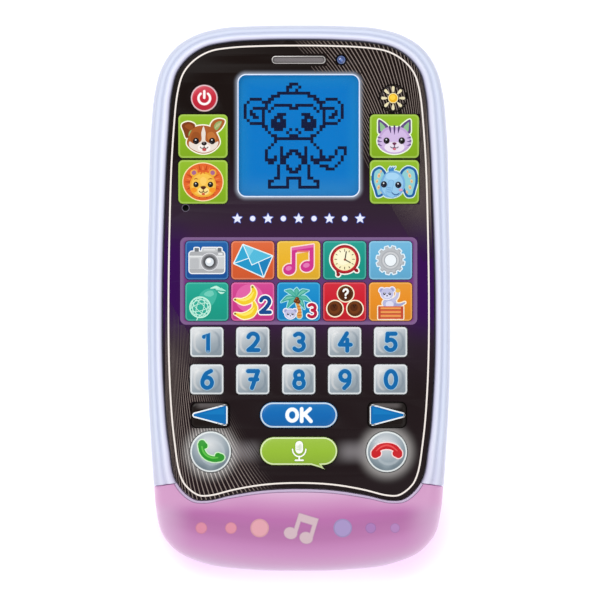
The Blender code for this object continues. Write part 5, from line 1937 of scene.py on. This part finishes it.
def draw_lion(p):
    p.add(ellipse(0, 0, 5.9, 5.55, count=56), (250, 228, 178), 0.3)
    p.add(ellipse(0, 0, 5.9, 5.55, count=56), (226, 112, 52))
    for k in range(28):
        angle = 2 * math.pi * k / 28
        x, y = math.cos(angle), math.sin(angle)
        inner, outer = 4.0, 5.35 - 0.35 * (k % 2)
        tone = (240, 138, 78) if k % 2 else (200, 84, 38)
        p.add(stroke([(inner * x, inner * 0.95 * y), (outer * x, outer * 0.95 * y)],
                     [0.55, 0.14]), tone)
    for x in (-2.7, 2.9):
        p.add(ellipse(x, 2.65, 1.15), (238, 176, 70)).add(ellipse(x, 2.75, 0.68), (172, 112, 150))
    face = smooth_closed([(0.0, 3.0), (2.6, 2.1), (3.9, -0.4), (3.6, -2.8), (1.9, -4.3),
                          (0.0, -4.6), (-1.9, -4.3), (-3.6, -2.8), (-3.9, -0.4), (-2.6, 2.1)], 5)
    p.add(face, (236, 176, 62)).add(face, (244, 198, 88), -0.5)
    for x in (-2.75, 2.85):
        p.add(ellipse(x, -2.45, 0.95, 0.75), (242, 158, 44))
    p.add(ellipse(0.1, -2.75, 1.7, 1.25), (250, 226, 150))
    p.add(smooth_closed([(-0.8, 0.9), (0.1, 1.5), (1.0, 0.9), (0.8, -0.6), (0.1, -1.1),
                         (-0.6, -0.6)], 5), (248, 208, 110))
    p.add(tapered([(-0.7, 2.3), (0.0, 3.2), (0.5, 2.5)], (0.25, 0.6, 0.2)), (226, 112, 52))
    for x in (-2.1, 2.25):
        draw_eye(p, x, -0.8, 0.8)
        p.add(tapered([(x - 0.6, 0.75), (x, 1.0), (x + 0.6, 0.8)], (0.12, 0.26, 0.12)),
              (176, 96, 38))
    p.add(smooth_closed([(-0.75, -1.5), (0.1, -1.25), (0.95, -1.5), (0.1, -2.3)], 4),
          (92, 44, 24))
    p.add(stroke([(0.1, -2.2), (0.1, -2.8)], 0.2), (92, 44, 24))
    draw_smile(p, 0.1, -2.8, 1.2, (92, 44, 24))
    p.add(ellipse(0.1, -3.65, 0.5, 0.3), (206, 84, 60))


def draw_cat(p):
    fur, dark, edge = (198, 172, 216), (92, 66, 120), (106, 82, 138)
    head = smooth_closed([(0.0, 2.7), (2.6, 2.5), (4.4, 0.6), (5.1, -1.7), (4.2, -3.6),
                          (2.2, -4.9), (0.0, -5.3), (-2.2, -4.9), (-4.2, -3.6), (-5.1, -1.7),
                          (-4.4, 0.6), (-2.6, 2.5)], 5)
    ears = []
    for side in (-1, 1):
        ears.append([(side * x, y) for x, y in smooth_closed(
            [(1.7, 2.4), (3.2, 4.2), (4.7, 5.0), (4.9, 3.2), (4.6, 0.8), (3.0, 1.4)], 5)])
    p.sticker(ears + [head], (240, 250, 224), 0.36)
    for outline, side in zip(ears, (-1, 1)):
        p.add(outline, edge)
        p.add([(side * x, y) for x, y in smooth_closed(
            [(2.7, 2.4), (3.5, 3.6), (4.3, 4.2), (4.3, 2.8), (4.0, 1.4), (3.2, 1.6)], 5)],
              (150, 196, 150))
    p.add(head, fur).add(head, (212, 190, 228), -0.7)
    p.add(ellipse(0.0, -3.3, 3.0, 1.6), (236, 226, 240))
    for x, low, lean in ((-1.25, 0.9, -0.15), (0.0, 0.5, 0.0), (1.25, 0.9, 0.15)):
        p.add(tapered([(x + lean, 3.0 - abs(x) * 0.15), (x, 1.9), (x - lean, low)],
                      (0.55, 0.5, 0.1)), dark)
    for side in (-1, 1):
        for y in (-0.4, -1.5, -2.6):
            p.add(tapered([(side * (4.9 - 0.1 * abs(y + 1.5)), y + 0.1), (side * 4.3, y - 0.1),
                           (side * 3.7, y - 0.15)], (0.42, 0.3, 0.08)), edge)
    for x, radius in ((-2.35, 0.9), (2.2, 0.95)):
        draw_eye(p, x, -1.35, radius)
    p.add(smooth_closed([(-0.62, -2.05), (0.0, -1.85), (0.62, -2.05), (0.0, -2.75)], 4),
          (120, 60, 96))
    p.add(stroke([(0.0, -2.7), (0.0, -3.2)], 0.18), (92, 60, 100))
    draw_smile(p, 0.0, -3.2, 1.15, (92, 60, 100), 0.2)
    p.add(ellipse(0.0, -3.85, 0.48, 0.3), (214, 110, 130))


def draw_elephant(p):
    skin, light, rim = (128, 180, 222), (158, 204, 234), (36, 104, 166)
    ears = [smooth_closed([(-2.6, 3.0), (-4.4, 4.6), (-6.3, 3.6), (-6.9, 0.8), (-6.0, -2.6),
                           (-5.2, -4.6), (-3.6, -4.2), (-2.9, -1.6)], 5),
            smooth_closed([(1.9, 3.2), (3.9, 4.7), (6.2, 3.9), (7.0, 0.9), (6.4, -2.4),
                           (5.6, -4.4), (3.9, -4.6), (2.5, -2.4)], 5)]
    head = smooth_closed([(-0.4, 3.3), (1.8, 2.6), (3.1, 0.5), (3.0, -1.8), (1.6, -3.9),
                          (-0.6, -4.7), (-2.9, -4.3), (-4.2, -2.6), (-4.1, 0.0), (-2.8, 2.4)], 5)
    tuft = [tapered([(-1.3 + 0.5 * k, 2.6), (-1.5 + 0.55 * k, 3.8), (-1.2 + 0.75 * k, 4.5)],
                    (0.6, 0.5, 0.15)) for k in range(3)]
    p.sticker(ears + tuft + [head], (226, 244, 240), 0.3)
    for outline, side in zip(ears, (-1, 1)):
        p.add(outline, rim).add(outline, (150, 208, 214), -0.72)
        patches = ((4.6, 1.9, 0.75), (5.2, 0.2, 0.6), (4.7, -1.6, 0.7), (3.8, -3.0, 0.5),
                   (4.0, 3.1, 0.45))
        for x, y, radius in patches:
            p.add(ellipse(side * x - 0.05, y, radius * 0.62, radius, 15 * side), (236, 204, 160))
            p.add(ellipse(side * x, y - 0.1, radius * 0.26, radius * 0.45), (206, 150, 110))
    for outline in tuft:
        p.add(outline, (70, 140, 200))
    p.add(head, skin).add(head, light, -0.6)
    p.add(ellipse(-0.7, 1.7, 2.0, 1.1), (172, 214, 240))
    trunk = tapered([(-1.0, -0.2), (-1.5, -2.0), (-1.7, -3.4), (-0.6, -4.2)],
                    (1.5, 1.7, 1.5, 1.1))
    p.add(trunk, (112, 166, 212), 0.1).add(trunk, (150, 198, 232))
    for k in range(3):
        p.add(stroke([(-2.05 - 0.08 * k, -1.7 - 0.62 * k), (-1.0 - 0.1 * k, -1.85 - 0.62 * k)],
                     0.15), (96, 150, 200))
    for x, y in ((-3.15, -0.75), (1.15, -0.9)):
        draw_eye(p, x, y, 0.92, (30, 34, 52))
    p.add(stroke(arc(0.4, -2.9, 1.2, 0.9, 200, 320, 9), 0.24), (52, 92, 150))
    p.add(ellipse(1.9, -2.4, 0.6, 0.4), (214, 168, 196))


# ---------------------------------------------------------------- other key prints

def draw_digit(p, digit):
    glyph(p, digit, (0.1, 0.0), 5.75, 1.25, (10, 112, 174), (170, 206, 226), 0.2)


def draw_power(p):
    p.sticker([stroke(arc(0, -0.05, 1.75, 1.75, 128, 412, 30), 0.55),
               stroke([(0, 0.1), (0, 2.1)], 0.6)], (240, 214, 216), 0.1)
    p.add(stroke(arc(0, -0.05, 1.75, 1.75, 128, 412, 30), 0.5), (255, 246, 246))
    p.add(stroke([(0, 0.1), (0, 2.1)], 0.55), (255, 246, 246))


def draw_sun(p):
    rays = []
    for k in range(8):
        angle = math.radians(45 * k)
        x, y = math.cos(angle), math.sin(angle)
        rays.append(stroke([(1.95 * x, 1.95 * y), (2.5 * x, 2.5 * y), (3.15 * x, 3.15 * y)],
                           [0.42, 0.78, 0.9]))
    for outline in rays:
        p.add(outline, (232, 222, 186))
    p.add(ellipse(0, 0, 1.3, count=40), (246, 232, 176), 0.24)
    p.add(ellipse(0, 0, 1.3, count=40), (238, 186, 40))
    p.add(ellipse(-0.15, 0.25, 0.8, count=36), (248, 214, 80))


def draw_arrow(p, side):
    """Blue wedge that points to a side, with a white border and a lighter upper half."""
    core = [(x if side < 0 else -x, y) for x, y in ((-4.65, 0.0), (4.4, 2.4), (4.4, -2.4))]
    p.add(core, (238, 244, 248), 0.78)
    p.add(core, (4, 118, 184), 0.36)
    upper = [(x if side < 0 else -x, y) for x, y in ((-3.2, 0.2), (4.2, 2.2), (4.2, 0.2))]
    p.add(upper, (20, 130, 194))


def rim_strip(p, outline_at, insets, colour):
    """Closed strip that follows a key's outline between two insets."""
    first, last = insets
    tracks = [outline_at(first + (last - first) * k / 4) for k in range(5)]
    rows = []
    for spots in zip(*tracks):
        heights = [p.surface(*spot) or p.surface(*spots[-1]) for spot in spots]
        top = [(*spot, height + 0.04) for spot, height in zip(spots, heights)]
        low = [(*spot, height - PRINT_DEPTH) for spot, height in zip(spots, heights)]
        rows.append(top + low[::-1])
    p.inks.append(colour)
    before = len(p.bm.faces)
    add_lattice(p.bm, rows, ring=True)
    p.bm.faces.ensure_lookup_table()
    for face in p.bm.faces[before:]:
        face.material_index = len(p.inks) - 1


def draw_ok(p):
    rim_strip(p, lambda inset: key_outline("key_ok", inset), (0.1, 0.55), (206, 224, 240))
    for letter, x in (("O", -1.95), ("K", 2.15)):
        glyph(p, letter, (x, 0.0), 4.2, 1.05, (250, 252, 255), (120, 172, 214), 0.14)


def draw_talk(p):
    rim_strip(p, lambda inset: key_outline("key_talk", inset), (0.08, 0.52), (228, 242, 190))
    white = (252, 253, 248)
    capsule = stroke([(0.15, 1.9), (0.15, 0.4)], 2.3)
    cradle = stroke(arc(0.15, 0.55, 2.0, 2.2, 180, 360, 18), 0.42)
    stem = stroke([(0.15, -1.6), (0.15, -2.6)], 0.5)
    foot = stroke([(-1.0, -2.75), (1.3, -2.75)], 0.5)
    p.sticker([capsule, cradle, stem, foot], (128, 166, 48), 0.16)
    p.add(cradle, white).add(stem, white).add(foot, white).add(capsule, white)
    p.add(stroke([(0.45, 1.7), (0.45, 0.5)], 0.9), (226, 234, 220))
    for k in range(3):
        p.add(stroke([(-0.7, 0.4 + 0.55 * k), (0.2, 0.4 + 0.55 * k)], 0.14), (176, 196, 150))


def draw_call(p):
    handle = tapered([(-2.9, 2.2), (-2.5, 0.1), (-1.2, -1.5), (0.8, -2.2), (2.9, -2.0)],
                     (1.8, 1.7, 1.65, 1.7, 1.8))
    ends = [tapered([(-2.6, 2.5), (-1.8, 1.8)], (2.1, 1.8), 3),
            tapered([(3.1, -1.7), (2.2, -1.2)], (2.1, 1.8), 3)]
    p.sticker([handle] + ends, (208, 240, 200), 0.34)
    for outline in [handle] + ends:
        p.add(outline, (52, 158, 50))
    p.add(tapered([(-2.6, 1.5), (-2.2, 0.1), (-0.9, -1.3), (0.7, -1.8), (2.1, -1.75)],
                  (0.5, 0.6, 0.6, 0.6, 0.4)), (104, 196, 84))


def draw_hang_up(p):
    handle = tapered([(-3.7, -0.3), (-2.3, 1.2), (0.0, 1.75), (2.3, 1.2), (3.7, -0.3)],
                     (1.9, 1.9, 1.85, 1.9, 1.9))
    ends = [tapered([(side * 3.5, -0.75), (side * 2.7, -0.5)], (2.3, 2.0), 3)
            for side in (-1, 1)]
    p.sticker([handle] + ends, (250, 222, 222), 0.34)
    for outline in [handle] + ends:
        p.add(outline, (204, 38, 48))
    p.add(tapered([(-3.1, 0.3), (-1.8, 1.4), (0.0, 1.95), (1.8, 1.4), (3.1, 0.3)],
                  (0.3, 0.5, 0.55, 0.5, 0.3)), (232, 92, 92))


PICTURES = {
    "key_camera": draw_camera, "key_mail": draw_mail, "key_music": draw_music,
    "key_clock": draw_clock, "key_settings": draw_gear, "key_net": draw_net,
    "key_bananas": draw_bananas, "key_palm": draw_palm, "key_coconuts": draw_coconuts,
    "key_crate": draw_crate, "key_dog": draw_dog, "key_lion": draw_lion, "key_cat": draw_cat,
    "key_elephant": draw_elephant, "key_power": draw_power, "key_light": draw_sun,
    "key_ok": draw_ok, "key_talk": draw_talk, "key_call": draw_call,
    "key_hang_up": draw_hang_up, "key_left": lambda p: draw_arrow(p, -1),
    "key_right": lambda p: draw_arrow(p, 1),
}


STRIPE_LIFT = 0.05              # the sun's print lies over the stripes on its cap


def raised(surface, lift):
    return lambda x, y: (surface(x, y) or surface(0.0, 0.0)) + lift


def make_key_prints(surfaces):
    """One print for each key, in the cap's own frame, moving with the key."""
    for name in KEYS:
        step = FINE_DRAPE_STEP if name in DIGIT_KEYS else DRAPE_STEP
        surface = surfaces[name]
        if name == "key_light":
            surface = raised(surface, STRIPE_LIFT)
        p = Print(surface, None if name in APP_KEYS + ANIMAL_KEYS else step)
        if name in DIGIT_KEYS:
            draw_digit(p, name[-1])
        else:
            PICTURES[name](p)
        p.place(name.replace("key_", "print_"), name, slot_of(name),
                (*key_place(name), FLANGE_LOW))


def make_chin_prints(surface):
    """Row of dots with a pair of notes between them, printed across the chin."""
    dots = ((-29.2, 1.75, (222, 150, 172)), (-20.3, 1.75, (224, 154, 172)),
            (-11.7, 2.8, (228, 172, 182)), (13.2, 2.8, (176, 158, 204)),
            (21.6, 1.6, (178, 134, 190)), (28.9, 1.45, (186, 142, 194)))
    p = Print(surface, DRAPE_STEP)
    for x, radius, colour in dots:
        darker = tuple(int(part * 0.94) for part in colour)
        p.add(ellipse(x, CHIN_PRINT_Y, radius, count=40), darker)
        p.add(ellipse(x, CHIN_PRINT_Y, radius * 0.86, count=36), colour)
    x, y = 0.75, CHIN_PRINT_Y

    def turned_by(points, degrees=15.0):
        lean = math.radians(degrees)
        return [(x + px * math.cos(lean) - py * math.sin(lean),
                 y + px * math.sin(lean) + py * math.cos(lean)) for px, py in points]

    note = [[(-1.9, 1.9), (-1.9, 4.1), (4.1, 4.1), (4.1, 1.9)],
            box(-1.9, -2.6, -0.8, 3.2, 0.1), box(3.0, -2.6, 4.1, 3.2, 0.1),
            ellipse(-2.6, -2.4, 1.95, 1.7), ellipse(2.3, -2.4, 1.95, 1.7)]
    note = [turned_by(outline, -17.0) for outline in note]
    for outline in note:
        p.add(outline, (196, 158, 186), 0.2)
    for outline in note:
        p.add(outline, (214, 190, 198))
    p.place("chin_ornaments", "root", "pink_diffuser", (0.0, 0.0, 0.0))


# ---------------------------------------------------------------- insides

STEEL = brushed("plated_steel", rgb(196, 196, 200), 0.25)


def give(node, material):
    """Put a material on a CAD node that stays in the visual model."""
    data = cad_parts[node].data
    data.materials.clear()
    data.materials.append(material)


def board_material():
    """Green solder mask with copper tracks that show through and tinned pads."""
    look = Look("board_mask", rgb(20, 92, 52), 0.35, coat=0.4)
    place = look.nodes.new("ShaderNodeTexCoord")
    tracks = look.nodes.new("ShaderNodeTexBrick")
    tracks.inputs["Scale"].default_value = 180.0
    tracks.inputs["Mortar Size"].default_value = 0.03
    tracks.inputs["Color1"].default_value = (*rgb(18, 88, 48), 1)
    tracks.inputs["Color2"].default_value = (*rgb(24, 100, 56), 1)
    tracks.inputs["Mortar"].default_value = (*rgb(70, 150, 80), 1)
    look.links.new(place.outputs["Object"], tracks.inputs["Vector"])
    pads = look.nodes.new("ShaderNodeTexVoronoi")
    pads.inputs["Scale"].default_value = 260.0
    look.links.new(place.outputs["Object"], pads.inputs["Vector"])
    tin = look.fade(pads.outputs["Distance"], 0.2, 0.14)
    look.link(look.mix(tin, tracks.outputs["Color"], rgb(186, 184, 176)), "Base Color")
    look.bump(tin, 0.2, 0.05)
    return look.material


def make_cell(node, nub):
    """AAA cell: a printed jacket with metal ends, its terminal towards the nub's side."""
    low, high = (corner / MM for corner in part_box(node))
    length = high.y - low.y - 0.9
    half = length / 2
    x, z = (low.x + high.x) / 2, (low.z + high.z) / 2
    y = (low.y + high.y) / 2 - nub * 0.45
    radius = (high.x - low.x) / 2
    profile = [(3.4, -half), (3.7, -half + 0.05), (4.6, -half + 0.15), (radius - 0.1, -half + 0.35),
               (radius, -half + 0.7), (radius, -half + 0.75), (radius, half - 0.9),
               (radius - 0.15, half - 0.5), (radius - 0.7, half - 0.2), (4.2, half),
               (2.0, half - 0.05), (1.9, half + 0.7), (1.7, half + 0.9)]
    rows = []
    for size, along in profile:
        rows.append([(px, nub * along, pz) for px, pz in circle(size, 40)])
    mesh = lattice_mesh("cell", [rows], sharp=35)
    jacket = Look("cell_jacket", rgb(38, 96, 64), 0.3, metallic=0.3, coat=0.5)
    along_cell = jacket.position()[1]
    place = jacket.math("MULTIPLY", along_cell, float(nub))
    band = jacket.fade(place, half * 0.52, half * 0.53)
    weave = jacket.noise(0.2, 2.0)
    green = jacket.mix(weave, rgb(32, 84, 56), rgb(44, 104, 70))
    jacket.link(jacket.mix(band, green, rgb(196, 154, 72)), "Base Color")
    jacket.bump(weave, 0.1, 0.02)
    mesh.materials.append(jacket.material)
    mesh.materials.append(STEEL)
    for face in mesh.polygons:
        along = nub * face.center.y / MM
        if along < -half + 0.5 or along > half - 0.45:
            face.material_index = 1
    piece(node + "_fine", mesh, None, "root", (x, y, z), (node,))


def make_spring(node, wall):
    """Cone spring between the wall of the bay and a cell's flat end."""
    low, high = (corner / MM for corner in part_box(node))
    x, z = (low.x + high.x) / 2, (low.z + high.z) / 2
    wire = 0.3
    start, end = (low.y + wire, high.y - wire) if wall < 0 else (high.y - wire, low.y + wire)
    curve = bpy.data.curves.new(node, "CURVE")
    curve.dimensions = "3D"
    curve.bevel_depth = wire * MM
    curve.bevel_resolution = 3
    curve.use_fill_caps = True
    turns, per_turn = 3, 28
    spline = curve.splines.new("POLY")
    spline.points.add(turns * per_turn)
    for k, point in enumerate(spline.points):
        share = k / (turns * per_turn)
        radius = 3.55 - 1.6 * share
        angle = 2 * math.pi * k / per_turn
        spot = Vector((radius * math.cos(angle), start + (end - start) * share,
                       radius * math.sin(angle)))
        point.co = (*(spot * MM), 1.0)
    piece(node + "_fine", curve, STEEL, "root", (x, 0.0, z), (node,))


def finish_insides():
    board = board_material()
    for node in ("circuit_board", "light_board"):
        give(node, board)
    give("keypad_sheet", moulded("keypad_rubber", rgb(150, 150, 154), 0.7, 1.2, 0.05))
    give("screen_backlight", moulded("milky_plastic", rgb(226, 230, 236), 0.45))
    lens = moulded("led_lens", rgb(240, 214, 232), 0.15)
    for node in ("led_left", "led_right"):
        give(node, lens)
    cone = Look("speaker_steel", rgb(60, 60, 64), 0.4, metallic=0.8)
    x, y, z = cone.position()
    away = cone.circle_distance(x, y, node_circle("speaker"), 0.0)
    ripple = cone.math("SINE", cone.math("MULTIPLY", away, 3.0))
    cone.link(cone.mix(cone.fade(ripple, -1.0, 1.0), rgb(52, 52, 56), rgb(84, 84, 90)),
              "Base Color")
    cone.bump(ripple, 0.4, 0.1)
    give("speaker", cone.material)
    give("microphone", moulded("microphone_felt", rgb(20, 18, 20), 0.8, 1.5, 0.05))
    nickel = brushed("nickel", rgb(190, 184, 170), 0.3)
    for node in ("battery_bridge", "battery_terminal"):
        give(node, nickel)
    make_cell("battery_left", 1)
    make_cell("battery_right", -1)
    make_spring("battery_spring_left", -1)
    make_spring("battery_spring_right", 1)


# ---------------------------------------------------------------- studio

CAMERA_AT = (-1.26, -0.51)
CAMERA_HEIGHT = 3020.0
CAMERA_LENS = 600.0
WORLD_SIDE = 0.84
WORLD_TOP = 0.36


def make_world():
    """Even soft light, with a darker part straight above so that the face stays black."""
    world = bpy.data.worlds.new("studio")
    bpy.context.scene.world = world
    world.use_nodes = True
    nodes, links = world.node_tree.nodes, world.node_tree.links
    place = nodes.new("ShaderNodeTexCoord")
    split = nodes.new("ShaderNodeSeparateXYZ")
    level = nodes.new("ShaderNodeMapRange")
    level.interpolation_type = "SMOOTHSTEP"
    level.inputs["From Min"].default_value = 0.80
    level.inputs["From Max"].default_value = 0.97
    level.inputs["To Min"].default_value = WORLD_SIDE
    level.inputs["To Max"].default_value = WORLD_TOP
    links.new(place.outputs["Generated"], split.inputs[0])
    links.new(split.outputs["Z"], level.inputs["Value"])
    links.new(level.outputs[0], nodes["Background"].inputs["Strength"])
    nodes["Background"].inputs["Color"].default_value = (1.0, 1.0, 1.0, 1.0)


def add_softbox(name, place, size, power):
    data = bpy.data.lights.new(name, "AREA")
    data.shape = "SQUARE"
    data.size = size
    data.energy = power
    light = bpy.data.objects.new(name, data)
    bpy.context.scene.collection.objects.link(light)
    light.location = place
    light.rotation_euler = (-Vector(place)).to_track_quat("-Z", "Y").to_euler()


def make_studio():
    make_world()
    add_softbox("key_light", (-0.45, 0.5, 1.1), 0.6, 4.7)
    add_softbox("fill_light", (0.5, -0.35, 1.1), 0.8, 1.9)

    size = 3000.0
    floor = lattice_mesh("floor", [stack([(box(-size, -size, size, size, 50), z)
                                          for z in (-20.0, -0.02)])])
    paper = Look("floor_paper", rgb(247, 247, 248), 0.8, specular=0.1)
    x, y, z = paper.position()
    white = paper.mix(paper.noise(0.01, 2.0), rgb(246, 246, 247), rgb(249, 249, 250))
    # painted pink glow of the chin's light on the floor round the chin
    away = paper.box_distance(x, y, (0.0, -68.0), (84.0, 28.0), 14.0)
    white = paper.mix(paper.math("MULTIPLY", paper.fade(away, 6.0, -2.5), 0.6), white,
                      rgb(240, 196, 236))
    paper.link(white, "Base Color")
    paper.link(white, "Emission Color")
    paper.set("Emission Strength", 0.35)
    floor.materials.append(paper.material)
    ground = bpy.data.objects.new("floor", floor)
    bpy.context.scene.collection.objects.link(ground)

    data = bpy.data.cameras.new("camera")
    data.lens = CAMERA_LENS
    data.sensor_width = 36.0
    data.clip_start = 0.05
    camera = bpy.data.objects.new("camera", data)
    bpy.context.scene.collection.objects.link(camera)
    camera.location = Vector((*CAMERA_AT, CAMERA_HEIGHT)) * MM
    bpy.context.scene.camera = camera
    bpy.context.scene.view_settings.view_transform = "Standard"


# ---------------------------------------------------------------- the phone

make_front_housing()
make_rear_housing()
make_battery_door()
for number in (1, 2, 3, 4):
    make_screw("housing_screw_%d" % number, "root")
make_screw("battery_door_screw", "battery_door")
make_chin_prints(make_light_cover())
make_faceplate()
make_app_panel()
make_face_lines()
make_screen()
make_face_details()
cap_surfaces = make_caps()
make_light_key_stripes(cap_surfaces["key_light"])
make_key_prints(cap_surfaces)
make_ornament()
finish_insides()
make_studio()

bpy.context.view_layer.update()
